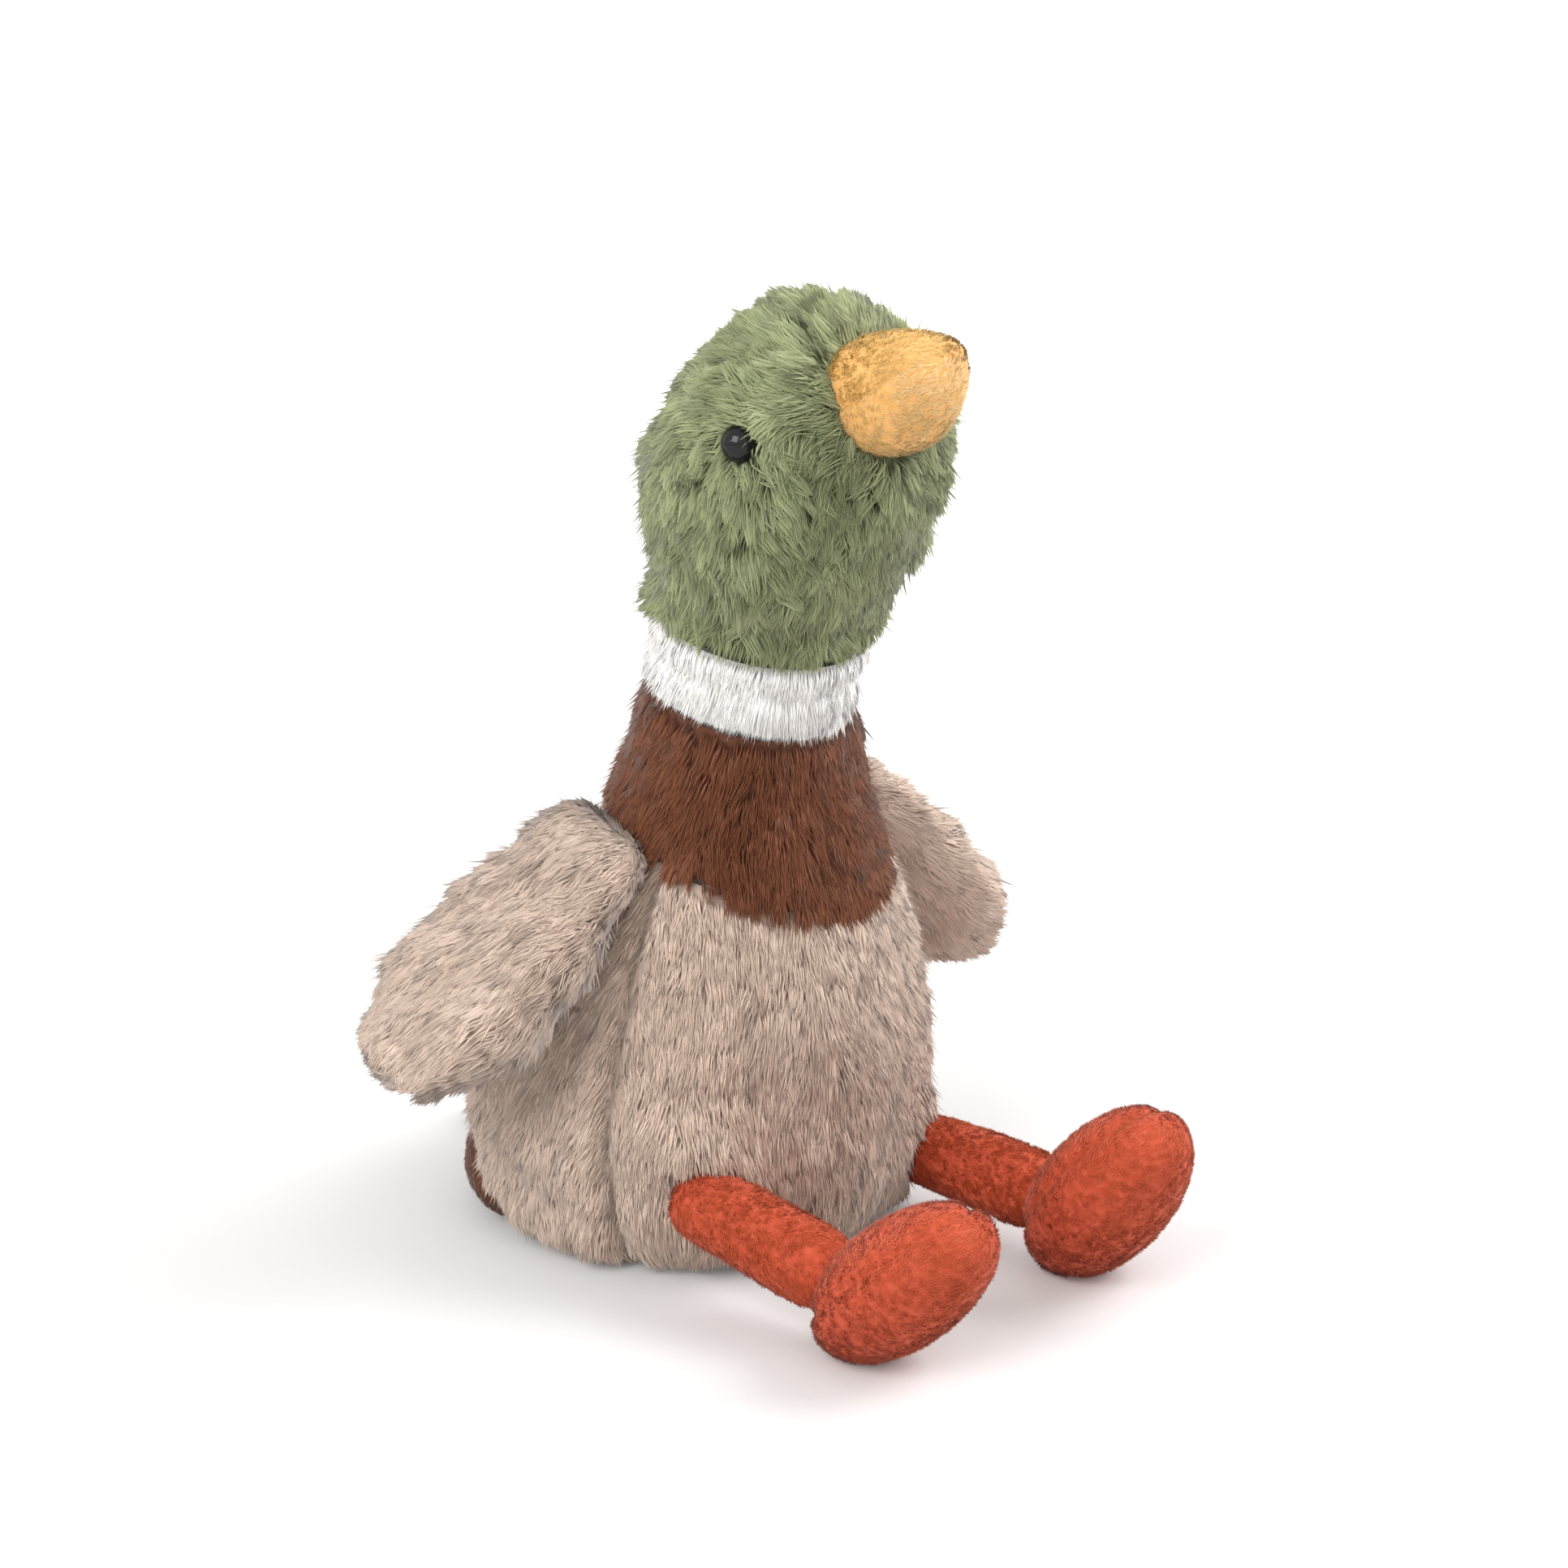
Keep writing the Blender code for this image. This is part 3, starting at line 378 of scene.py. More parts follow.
def slope_of(sink, point, normal):
    """How a sunken or raised surface leans: the sink's gradient along the surface."""
    reach = 0.3 * MM
    slope = np.stack([(sink(point + step) - sink(point - step)) / (2 * reach) for step in reach * np.eye(3)], -1)
    return slope - dot(slope, normal)[:, None] * normal


STRAND_FACES = np.array(((0, 1, 2), (1, 3, 2), (0, 3, 1), (0, 2, 3)))
SPIKE_FACES = np.array(((0, 1, 3), (1, 2, 3), (2, 0, 3), (0, 2, 1)))
# How deep strands root under the backing's face, the shares of a strand before and after its bend, the share of
# strands that stand loose of their lock, and half the width of a strand's strip on the map
ROOT_DEPTH = 0.15 * MM
TO_BEND, TO_TIP = 0.45, 0.55
LOOSE_SHARE = 0.12
STRIP = 0.003


def gathered(points, which, locks, amount):
    """Strands' points moved towards the mean point of their lock, each by its own amount."""
    strands_in = np.maximum(np.bincount(which, minlength=locks), 1)
    lock_middle = np.stack([np.bincount(which, points[:, k], minlength=locks) for k in range(3)], -1)
    lock_middle /= strands_in[:, None]
    return points + amount[:, None] * (lock_middle[which] - points)


def spikes(root, tip, side, top, half, tone, soft):
    """Short three-sided strands: corners, places on the map, normals and faces."""
    corners = (root + side * half, root - side * half, root + top * half * 1.3, tip)
    lit = (soft + 0.4 * side, soft - 0.4 * side, soft, soft)
    return corners, (tone - STRIP, tone + STRIP, tone, tone), (0.20, 0.20, 0.24, 0.97), lit, SPIKE_FACES


def slivers(root, middle, tip, side, top, half, tone, soft):
    """Long four-faced strands, widest at their bend: corners, places on the map, normals and faces."""
    bend = middle + top * half * 0.6
    turned_in = dot(np.cross(tip - root, bend - root), side) < 0
    half = np.where(turned_in[:, None], -half, half)
    corners = (root, bend + side * half, bend - side * half, tip)
    lit = (soft, soft + 0.35 * side * np.sign(half), soft - 0.35 * side * np.sign(half), soft)
    return corners, (tone, tone - STRIP, tone + STRIP, tone), (0.05, 0.52, 0.52, 0.97), lit, STRAND_FACES


def grow(surface, rng, kind, comb, wrap=True, keep=None, crop=None, shade=None, sink=None, length_share=1.0):
    """Locks of strands on a surface: their points, triangles, map and normals.

    Locks are sown evenly. Each lock's strands root round its middle and lean along the comb's direction, turned by
    the lock's own stray angle, and their bends and tips gather towards the lock's. A strand is a closed sliver, or a
    spike in velour. Its map runs from root to tip upwards and by its shade sideways. Its normals lean from the
    skin's own, so that the coat is lit as one surface.
    """
    short = kind == "velour"
    density, per_lock, spread, length, width, rise_root, rise_tip, gather, stray, depth = PILES[kind]
    spread, length, width, depth = spread * MM, length * MM * length_share, width * MM, depth * MM
    lock_u, lock_v = sow(surface, rng, density / per_lock)
    locks = len(lock_u)
    _, _, run_u, run_v = at(surface, lock_u, lock_v)
    which = np.repeat(np.arange(locks), per_lock)
    count = len(which)
    u = lock_u[which] + spread * rng.standard_normal(count) / np.linalg.norm(run_u, axis=-1)[which]
    v = lock_v[which] + spread * rng.standard_normal(count) / np.linalg.norm(run_v, axis=-1)[which]
    lock_turn = stray * rng.standard_normal(locks)
    lock_length = rng.uniform(0.74, 1.12, locks)
    lock_rise = rng.uniform(0.65, 1.35, locks)
    lock_shade = rng.standard_normal(locks)
    lock_tilt = rng.standard_normal((locks, 3))
    inside = (v > 0.003) & (v < 0.997)
    if not wrap:
        inside &= (u > 0) & (u < 1)
    u, v, which = u[inside], v[inside], which[inside]
    point, normal, run_u, run_v = at(surface, u, v)
    if keep is not None:
        kept = keep(point)
        u, v, which, point, normal, run_u, run_v = (a[kept] for a in (u, v, which, point, normal, run_u, run_v))
    count = len(u)
    inset = depth + ROOT_DEPTH + (0 if sink is None else sink(point))
    root = point - np.reshape(inset, (-1, 1)) * normal
    if sink is not None:
        normal = unit(normal + slope_of(sink, point, normal))
    lean = comb(point, normal, run_u, run_v)
    lean = unit(lean - dot(lean, normal)[:, None] * normal)
    angle = (lock_turn[which] + 0.35 * stray * rng.standard_normal(count))[:, None]
    lean = lean * np.cos(angle) + np.cross(normal, lean) * np.sin(angle)
    reach = length * lock_length[which] * rng.uniform(0.80, 1.08, count)
    loose = (rng.random(count) < LOOSE_SHARE) & (not short)
    if crop is not None:
        reach = reach * crop(point)
    reach = (reach * (1 + 0.08 * loose))[:, None]
    up_root = (rise_root * lock_rise[which] * rng.uniform(0.8, 1.2, count))[:, None]
    up_tip = (rise_tip * lock_rise[which] * rng.uniform(0.4, 1.5, count) + 0.45 * loose)[:, None]
    first = unit(normal * np.sin(up_root) + lean * np.cos(up_root))
    second = unit(normal * np.sin(up_tip) + lean * np.cos(up_tip))
    middle = root + first * reach * TO_BEND
    tip = gathered(middle + second * reach * TO_TIP, which, locks, gather * (1 - 0.8 * loose))
    middle = gathered(middle, which, locks, gather * 0.35 * (1 - 0.8 * loose))
    side = unit(np.cross(first, normal))
    top = np.cross(side, first)
    half = (width * rng.uniform(0.75, 1.2, count) * (1 - 0.35 * loose) / 2)[:, None]
    mottle = 0.10 * lock_shade[which] + 0.13 * rng.standard_normal(count) + 0.12 * waves(point, rng, 16 * MM)
    tone = 0.5 + (0.5 if short else 1) * mottle
    if shade is not None:
        tone = tone + shade(point, normal)
    tone = np.clip(tone, 0.02, 0.98)
    soft = unit(normal + (0.10 if short else 0.22) * lock_tilt[which])
    if short:
        corners, map_u, map_v, lit, faces = spikes(root, tip, side, top, half, tone, soft)
    else:
        corners, map_u, map_v, lit, faces = slivers(root, middle, tip, side, top, half, tone, soft)
    points = np.stack(corners, 1).reshape(-1, 3)
    points[:, 2] = np.maximum(points[:, 2], FLOOR_CLEARANCE)
    lit = unit(np.stack(lit, 1).reshape(-1, 3))
    uv = np.stack((np.stack(map_u, 1).ravel(), np.tile(map_v, count)), -1)
    triangles = (faces[None] + len(corners) * np.arange(count)[:, None, None]).reshape(-1, 3)
    return points, triangles, uv, lit


def quads(a, b, c, d):
    """Four corner lists of a row of quads as two rows of triangles."""
    return np.concatenate((np.stack((a, b, c), -1).reshape(-1, 3), np.stack((a, c, d), -1).reshape(-1, 3)))


def grid_faces(columns, rows, wrap_columns, wrap_rows=False, start=0):
    """The triangles of a grid whose points are numbered column by column, joined round where it wraps."""
    i = np.arange(columns if wrap_columns else columns - 1)[:, None]
    j = np.arange(rows if wrap_rows else rows - 1)[None]
    right, above = (i + 1) % columns, (j + 1) % rows
    return quads(*(start + k for k in (i * rows + j, right * rows + j, right * rows + above, i * rows + above)))


def capped_faces(columns, rows):
    """A grid wrapped round its columns, each end a fan to one of the two points that follow the grid's own."""
    around = np.arange(columns)
    after = (around + 1) % columns
    first = columns * rows
    low = np.stack((np.full(columns, first), after * rows, around * rows), -1)
    high = np.stack((np.full(columns, first + 1), around * rows + rows - 1, after * rows + rows - 1), -1)
    return np.concatenate((grid_faces(columns, rows, True), low, high))


def backing_map(count):
    """The backing cloth's corners lie scattered over a thin strip at the root end of the map."""
    across, up = (np.arange(count) * step % 1 for step in (SPREAD_ACROSS, SPREAD_UP))
    return np.stack((0.30 + 0.4 * across, 0.02 + (0.05 - 0.02) * up), -1)


def closed_skin(surface, depth, columns=48, rows=40, sink=None, map_lift=0):
    """A closed form under the pile: rings from end to end, with a point at each end."""
    i, j = np.meshgrid(np.arange(columns), np.arange(rows), indexing="ij")
    point, normal, _, _ = at(surface, (i / columns).ravel(), ((j + 0.6) / (rows + 0.2)).ravel())
    inset = depth * MM + (0 if sink is None else sink(point))
    point = point - np.reshape(inset, (-1, 1)) * normal
    grid = point.reshape(columns, rows, 3)
    points = np.concatenate((point, np.stack((grid[:, 0].mean(0), grid[:, -1].mean(0)))))
    points[:, 2] = np.maximum(points[:, 2], FLOOR_CLEARANCE)
    return points, capped_faces(columns, rows), backing_map(len(points)) + (0, map_lift)


def shell_skin(surface, outer, inner, columns, rows, wrap=False, sink=None):
    """A closed sheet between two depths under a surface, its edges walled."""
    count = columns if wrap else columns - 1
    i, j = np.meshgrid(np.arange(columns) / count, np.arange(rows) / (rows - 1), indexing="ij")
    point, normal, _, _ = at(surface, i.ravel(), j.ravel())
    drop = np.reshape(0 if sink is None else sink(point), (-1, 1))
    inner_depth = inner * MM + np.maximum(drop, 0)
    points = np.concatenate((point - (outer * MM + drop) * normal, point - inner_depth * normal))
    points[:, 2] = np.maximum(points[:, 2], FLOOR_CLEARANCE)
    under = len(point)
    parts = [grid_faces(columns, rows, wrap), grid_faces(columns, rows, wrap, start=under)[:, ::-1]]
    low = np.arange(count) * rows
    right = (np.arange(count) + 1) % columns * rows
    parts.append(quads(low, low + under, right + under, right))
    end = rows - 1
    parts.append(quads(low + end, right + end, right + end + under, low + end + under))
    if not wrap:
        j = np.arange(rows - 1)
        last = (columns - 1) * rows + j
        parts.append(quads(j, j + 1, j + 1 + under, j + under))
        parts.append(quads(last, last + under, last + 1 + under, last + 1))
    return points, np.concatenate(parts), backing_map(len(points))


def piece(name, parts, material, body, slot, nodes):
    """One object from several lists of points, triangles and map corners, riding on its body."""
    offset, points, faces, maps, lit = 0, [], [], [], []
    for part_points, part_faces, part_map, *part_lit in parts:
        points.append(part_points)
        faces.append(part_faces + offset)
        maps.append(part_map)
        lit.append(part_lit[0] if part_lit else np.zeros_like(part_points))
        offset += len(part_points)
    points, faces, maps, lit = (np.concatenate(a) for a in (points, faces, maps, lit))
    mesh = bpy.data.meshes.new(name)
    mesh.vertices.add(len(points))
    mesh.vertices.foreach_set("co", points.astype(np.float32).ravel())
    mesh.loops.add(faces.size)
    mesh.loops.foreach_set("vertex_index", faces.astype(np.int32).ravel())
    mesh.polygons.add(len(faces))
    mesh.polygons.foreach_set("loop_start", np.arange(0, faces.size, 3, dtype=np.int32))
    mesh.polygons.foreach_set("use_smooth", np.ones(len(faces), bool))
    mesh.update(calc_edges=True)
    if len(parts) > 1:
        mesh.normals_split_custom_set_from_vertices(lit)
    layer = mesh.uv_layers.new(name=BAKE_MAP)
    layer.uv.foreach_set("vector", maps[faces.ravel()].astype(np.float32).ravel())
    mesh.materials.append(material)
    obj = bpy.data.objects.new(name, mesh)
    bpy.context.scene.collection.objects.link(obj)
    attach(obj, body)
    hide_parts(*nodes)
    return obj


# Materials


def feed(tree, node, values):
    """Gives a node's inputs what they need: another node's output is linked, anything else is set."""
    for key, value in values.items():
        if isinstance(value, bpy.types.NodeSocket):
            tree.links.new(value, node.inputs[key])
        else:
            node.inputs[key].default_value = value


def add_node(tree, kind, place, inputs=None, **values):
    """A node at its place in the editor, with its properties and then its inputs."""
    node = tree.nodes.new(kind)
    node.location = place
    for key, value in values.items():
        setattr(node, key, value)
    feed(tree, node, inputs or {})
    return node


def maths(tree, operation, place, *values, **more):
    """The result of a math node on one to three values."""
    return add_node(tree, "ShaderNodeMath", place, dict(enumerate(values)), operation=operation, **more).outputs[0]


def open_group(name, inputs, outputs):
    """A new node group with its sockets, and the outputs of the node that hands its inputs on."""
    tree = bpy.data.node_groups.new(name, "ShaderNodeTree")
    for label, value in inputs.items():
        kind = "NodeSocketColor" if isinstance(value, tuple) else "NodeSocketFloat"
        tree.interface.new_socket(label, in_out="INPUT", socket_type=kind).default_value = value
    for label, kind in outputs.items():
        tree.interface.new_socket(label, in_out="OUTPUT", socket_type=kind)
    return tree, add_node(tree, "NodeGroupInput", (-900, 0)).outputs


def new_material(name):
    """A material, its node tree and its main shader."""
    material = bpy.data.materials.new(name)
    material.use_nodes = True
    return material, material.node_tree, material.node_tree.nodes["Principled BSDF"]


def pile_shade_group():
    """Root to tip colour with each strand's own shade, both read off the piece's map, and a slightly uneven gloss."""
    name = "Pile shade"
    if name in bpy.data.node_groups:
        return bpy.data.node_groups[name]
    tree, given = open_group(name, {
        "Root Colour": (0.2, 0.2, 0.2, 1), "Tip Colour": (0.6, 0.6, 0.6, 1), "Fade": 0.8, "Darkest": 0.7,
        "Lightest": 1.3, "Grain": 0.2, "Gloss": 0.8, "Dark Saturation": 1.05, "Light Saturation": 0.92,
    }, {"Colour": "NodeSocketColor", "Roughness": "NodeSocketFloat"})
    place = add_node(tree, "ShaderNodeUVMap", (-900, -300), uv_map=BAKE_MAP)
    parts = add_node(tree, "ShaderNodeSeparateXYZ", (-700, -300), {0: place.outputs["UV"]})
    fade = maths(tree, "POWER", (-500, -100), parts.outputs["Y"], given["Fade"])
    blend = add_node(
        tree, "ShaderNodeMix", (-300, 0), {0: fade, 6: given["Root Colour"], 7: given["Tip Colour"]},
        data_type="RGBA")
    stretch = add_node(
        tree, "ShaderNodeMapping", (-500, -450), {"Scale": (160, 5, 1), "Vector": place.outputs["UV"]})
    grain = add_node(
        tree, "ShaderNodeTexNoise", (-300, -450), {"Scale": 1.0, "Detail": 2.0, "Vector": stretch.outputs[0]})
    level = add_node(
        tree, "ShaderNodeMapRange", (-100, -250),
        {"Value": parts.outputs["X"], "To Min": given["Darkest"], "To Max": given["Lightest"]})
    centred = maths(tree, "SUBTRACT", (-100, -450), grain.outputs["Fac"], 0.5)
    bumped = maths(tree, "MULTIPLY_ADD", (80, -400), centred, given["Grain"], level.outputs[0])
    strength = add_node(
        tree, "ShaderNodeMapRange", (80, -150),
        {"Value": parts.outputs["X"], "To Min": given["Dark Saturation"], "To Max": given["Light Saturation"]})
    tone = add_node(
        tree, "ShaderNodeHueSaturation", (300, 0),
        {"Color": blend.outputs[2], "Value": bumped, "Saturation": strength.outputs[0]})
    rough = maths(tree, "MULTIPLY_ADD", (300, -300), centred, 0.15, given["Gloss"], use_clamp=True)
    add_node(tree, "NodeGroupOutput", (700, 0), {"Colour": tone.outputs[0], "Roughness": rough})
    return tree


def cloth(name, root, tip, fade=0.8, darkest=0.72, lightest=1.28, grain=0.25, gloss=0.8, sheen=0.25,
          saturation=(1.05, 0.92)):
    """Pile or velour: the shade group's colour and roughness under a soft sheen."""
    material, tree, shader = new_material(name)
    group = add_node(tree, "ShaderNodeGroup", (-300, 0), node_tree=pile_shade_group())
    feed(tree, group, {
        "Root Colour": (*root, 1), "Tip Colour": (*tip, 1), "Fade": fade, "Darkest": darkest, "Lightest": lightest,
        "Grain": grain, "Gloss": gloss, "Dark Saturation": saturation[0], "Light Saturation": saturation[1]})
    feed(tree, shader, {
        "Specular IOR Level": 0.25, "Sheen Weight": sheen, "Sheen Roughness": 0.5,
        "Base Color": group.outputs["Colour"], "Roughness": group.outputs["Roughness"]})
    return material


def fibre_cloud_group():
    """Loose fibre: soft light and dark clouds with fine threads over them, and a height for the bump."""
    name = "Fibre cloud"
    if name in bpy.data.node_groups:
        return bpy.data.node_groups[name]
    tree, given = open_group(
        name, {"Colour": (0.8, 0.8, 0.78, 1), "Cloud Size": 180.0, "Thread Size": 1600.0, "Depth": 0.15},
        {"Colour": "NodeSocketColor", "Height": "NodeSocketFloat"})
    place = add_node(tree, "ShaderNodeTexCoord", (-700, -250)).outputs["Object"]
    cloud = add_node(tree, "ShaderNodeTexNoise", (-450, -100), {"Vector": place, "Scale": given["Cloud Size"]})
    thread = add_node(
        tree, "ShaderNodeTexNoise", (-450, -400), {"Vector": place, "Scale": given["Thread Size"], "Distortion": 1.5})
    both = maths(tree, "ADD", (-200, -200), cloud.outputs["Fac"], thread.outputs["Fac"])
    depth = maths(tree, "MULTIPLY_ADD", (0, -200), both, given["Depth"], 0.85)
    tone = add_node(tree, "ShaderNodeHueSaturation", (250, 0), {"Color": given["Colour"], "Value": depth})
    add_node(tree, "NodeGroupOutput", (500, 0), {"Colour": tone.outputs[0], "Height": both})
    return tree


def filling_material(name, colour, cloud=180.0, thread=1600.0, depth=0.15, roughness=0.9, bump=0.4):
    """Fibre, woven or moulded filling: the cloud group's colour, and its height as a shallow bump."""
    material, tree, shader = new_material(name)
    group = add_node(tree, "ShaderNodeGroup", (-500, 0), node_tree=fibre_cloud_group())
    feed(tree, group, {"Colour": (*colour, 1), "Cloud Size": cloud, "Thread Size": thread, "Depth": depth})
    relief = add_node(
        tree, "ShaderNodeBump", (-250, -200),
        {"Strength": bump, "Distance": 0.0004, "Height": group.outputs["Height"]})
    feed(tree, shader, {
        "Roughness": roughness, "Base Color": group.outputs["Colour"], "Normal": relief.outputs[0]})
    return material


def uneven(tree, low, high, place=(-500, 0)):
    """Fine noise on Object coordinates as a value between two levels."""
    spot = add_node(tree, "ShaderNodeTexCoord", (place[0] - 200, place[1])).outputs["Object"]
    noise = add_node(tree, "ShaderNodeTexNoise", place, {"Scale": 900.0, "Vector": spot})
    return add_node(
        tree, "ShaderNodeMapRange", (place[0] + 250, place[1]),
        {"Value": noise.outputs["Fac"], "To Min": low, "To Max": high}).outputs[0]


def eye_material(name):
    """Black moulded plastic, polished, with the faint haze of handling."""
    material, tree, shader = new_material(name)
    feed(tree, shader, {
        "Base Color": (0.006, 0.006, 0.007, 1), "Specular IOR Level": 0.35, "Roughness": uneven(tree, 0.05, 0.16)})
    return material


def floor_material(name):
    """White paper: part of its brightness is its own where the camera sees it, the rest takes the shadow."""
    material, tree, shader = new_material(name)
    level = uneven(tree, 0.66, 0.68, (-600, 0))
    colour = add_node(tree, "ShaderNodeCombineColor", (-200, 0), {channel: level for channel in range(3)})
    feed(tree, shader, {"Roughness": 0.9, "Base Color": colour.outputs[0]})
    place = add_node(tree, "ShaderNodeTexCoord", (-800, -500))
    far = add_node(tree, "ShaderNodeVectorMath", (-600, -500), {0: place.outputs["Object"]}, operation="LENGTH")
    fade = add_node(
        tree, "ShaderNodeMapRange", (-400, -500),
        {"Value": far.outputs["Value"], "From Min": 0.25, "From Max": 1.3, "To Min": 0.08, "To Max": 0.9},
        interpolation_type="SMOOTHSTEP")
    path = add_node(tree, "ShaderNodeLightPath", (-400, -300))
    amount = maths(tree, "MULTIPLY", (-200, -300), path.outputs["Is Camera Ray"], fade.outputs[0])
    glow = add_node(tree, "ShaderNodeEmission", (0, -350), {"Strength": amount})
    both = add_node(tree, "ShaderNodeAddShader", (250, 0), {0: shader.outputs[0], 1: glow.outputs[0]})
    feed(tree, tree.nodes["Material Output"], {"Surface": both.outputs[0]})
    return material


# Combing: directions, lengths, shades and depths of the pile over each part


def swirled(way, point, normal, seed, size, amount):
    """A direction turned to either side by slow waves of a size in millimetres."""
    swirl = amount * waves(point, np.random.default_rng(seed), size * MM)[:, None]
    return way + swirl * np.cross(normal, unit(way))


def lumps(point, seed, size, height):
    """How far soft filling stands a cover out, from nothing to the height."""
    return height * MM * (1 + waves(point, np.random.default_rng(seed), size * MM)) / 2


def down(point, normal, run_u, run_v):
    """Down along the form, with slow swirls to either side."""
    return swirled(-unit(run_v), point, normal, 5, 30, 0.22)


def by_side_seam(point):
    """How far behind a side seam's upright plane points lie, and which lie at the trunk's sides."""
    return point[:, 1] + SIDE_SEAM, np.abs(point[:, 0]) > SIDES_FROM


def trunk_comb(point, normal, run_u, run_v):
    """Down, and parted to either side along the side seams."""
    beside, side = by_side_seam(point)
    part = 0.6 * bell(beside, 4.5 * MM) * np.sign(beside) * side
    return down(point, normal, run_u, run_v) + part[:, None] * np.array((0.0, 1.0, 0.0))


def along_limb(point, normal, run_u, run_v):
    """From the root to the tip, opening a little at the edges."""
    return swirled(unit(run_v), point, normal, 6, 22, 0.35) + 0.15 * unit(run_u)


def wing_comb(place):
    """One direction for the whole wing, from the root outwards, so that the pile flows over the shoulder."""
    turn = np.array(place[1])
    way = turn[0] + 0.55 * np.array((np.sign(place[0][0]), 0.0, 0.35))

    def comb(point, normal, run_u, run_v):
        """The wing's direction, fanned out from its middle line."""
        spread = local_to(place, point)[:, 1:2] / (30 * MM)
        return swirled(way + 0.35 * spread * turn[1], point, normal, 8, 20, 0.35)
    return comb


def off_axis(point, origin, way):
    """Distance from a line, and the direction away from it."""
    reach = point - np.array(origin) * MM
    reach = reach - (reach @ np.array(way))[:, None] * way
    return np.linalg.norm(reach, axis=-1), unit(reach)


def off_eyes(point):
    """For each eye the distance from its axis, the direction away from it, and which points are on its side."""
    for origin, axis in EYES.values():
        yield *off_axis(point, origin, axis), point[:, 0] * axis[0] > 0


def head_comb(point, normal, run_u, run_v):
    """Away from each eye and from the bill where they are near, back over the crown, else down."""
    fall = np.zeros_like(point)
    fall[:, 2] = -1.0
    lift = ramp(point[:, 2], 194, 216)[:, None]
    back = np.array((0.0, 1.0, 0.15))
    way = fall * (1 - lift) + back * lift * 1.3
    for far, away, same in off_eyes(point):
        way = way + (1.1 * bell(far, 8 * MM) * same)[:, None] * away
    far, away = off_axis(point, BILL[0], BILL[1][0])
    front = point[:, 1] < FACE_FROM
    way = way + (2.2 * np.exp(-(far / (17 * MM)) ** 4) * front)[:, None] * away
    return swirled(way, point, normal, 7, 18, 0.8)


def head_keep(point):
    """No strand roots where an eye or the bill stands."""
    kept = np.ones(len(point), bool)
    for far, _, same in off_eyes(point):
        kept &= (far > 3.3 * MM) | ~same
    local = local_to(BILL, point)
    inside = (local[:, 1] / (13.0 * MM)) ** 2 + (local[:, 2] / (12.4 * MM)) ** 2 < 1
    return kept & ~(inside & (local[:, 0] > 0))


def fringe(height, length, hang):
    """Strands near a lower edge are cut to end about the hang below it, but keep a quarter of their length."""
    return np.clip((height + hang) / length, 0.25, 1)


def slim(point):
    """Where the head's pile lies thinner: behind the crown and under the chin."""
    crown = ramp(point[:, 2], 192, 204) * ramp(point[:, 1], -42, -30)
    chin = bell(point[:, 2] - 172 * MM, 14 * MM) * ramp(-point[:, 1], 52, 60)
    return np.maximum(crown, chin)


def crown_seams(point):
    """1 along the two seams beside the crown, fading out down the head."""
    return ramp(point[:, 2], 184, 192) * bell(np.abs(point[:, 0]) - GUSSET_EDGE, 2.0 * MM)


def head_crop(point):
    """Shorter along the two seams beside the crown, close round the eyes and the bill, and at the rim."""
    share = (1 - 0.5 * crown_seams(point)) * (1 - 0.35 * slim(point))
    for far, _, same in off_eyes(point):
        share = share * (1 - 0.40 * bell(far, 6 * MM) * same)
    far, _ = off_axis(point, BILL[0], BILL[1][0])
    share = share * (1 - 0.35 * np.exp(-(far / (15 * MM)) ** 6) * (point[:, 1] < FACE_FROM))
    return share * fringe(above_neck(point) - 20 * MM, 9 * MM, 2.5 * MM - 0.04 * point[:, 0])


def head_shade(point, normal):
    """Painted shade in the seams beside the crown and in the hollows between the lumps of fibre, and painted light on
    the lumps.
    """
    return 0.13 * waves(point, np.random.default_rng(13), 24 * MM) - 0.24 * crown_seams(point)


def head_sink(point):
    """The backing comes up under the pile's root at the rim, and lumps of fibre fill it out unevenly."""
    rise = ramp(above_neck(point), 20.5, 29.5)
    rise = rise * rise * (3 - 2 * rise)
    return -(PILES["head"][-1] - 0.9) * MM * (1 - rise) - lumps(point, 13, 24, 1.7) * rise * (1 - slim(point))


def ring_crop(point):
    """Cut to hang past the lower edge, a little longer on the left, and shorter at the top."""
    height = above_neck(point)
    return (1 - 0.35 * ramp(height, 13, 17)) * fringe(height, 8 * MM, 1.5 * MM + 0.08 * point[:, 0])


def ring_sink(point):
    """The pile's roots follow the band's lip out at its top."""
    return -2.2 * MM * ramp(above_neck(point), 12.5, 17.5)


def off_leg(place, point, above=0.0):
    """Distance from a line along a leg, a height in metres over its axis, and the place along it."""
    local = local_to(place, point)
    return np.hypot(local[:, 1], local[:, 2] - above), local[:, 0]


def trunk_keep(point):
    """No strand roots inside a leg."""
    kept = np.ones(len(point), bool)
    for place in LEGS.values():
        far, along = off_leg(place, point)
        kept &= (far > 7.0 * MM) | (along < -4.5 * MM)
    return kept


def trunk_crop(point):
    """Shorter beside the side seams, where the pile parts, close to the floor and over the rump's edge."""
    beside, side = by_side_seam(point)
    share = 1 - 0.6 * bell(beside, 1.8 * MM) * side
    share = share * (1 - 0.68 * bell(np.maximum(above_rump(point), 0), 6 * MM) * (point[:, 1] > 0))
    return share * (0.55 + 0.45 * ramp(point[:, 2], 0, 9))


def trunk_shade(point, normal):
    """Paler towards the back, with painted shade in the side seams, where the pile parts."""
    beside, side = by_side_seam(point)
    return 0.12 * ramp(beside, 0, 30) - 0.45 * bell(beside, 1.6 * MM) * side


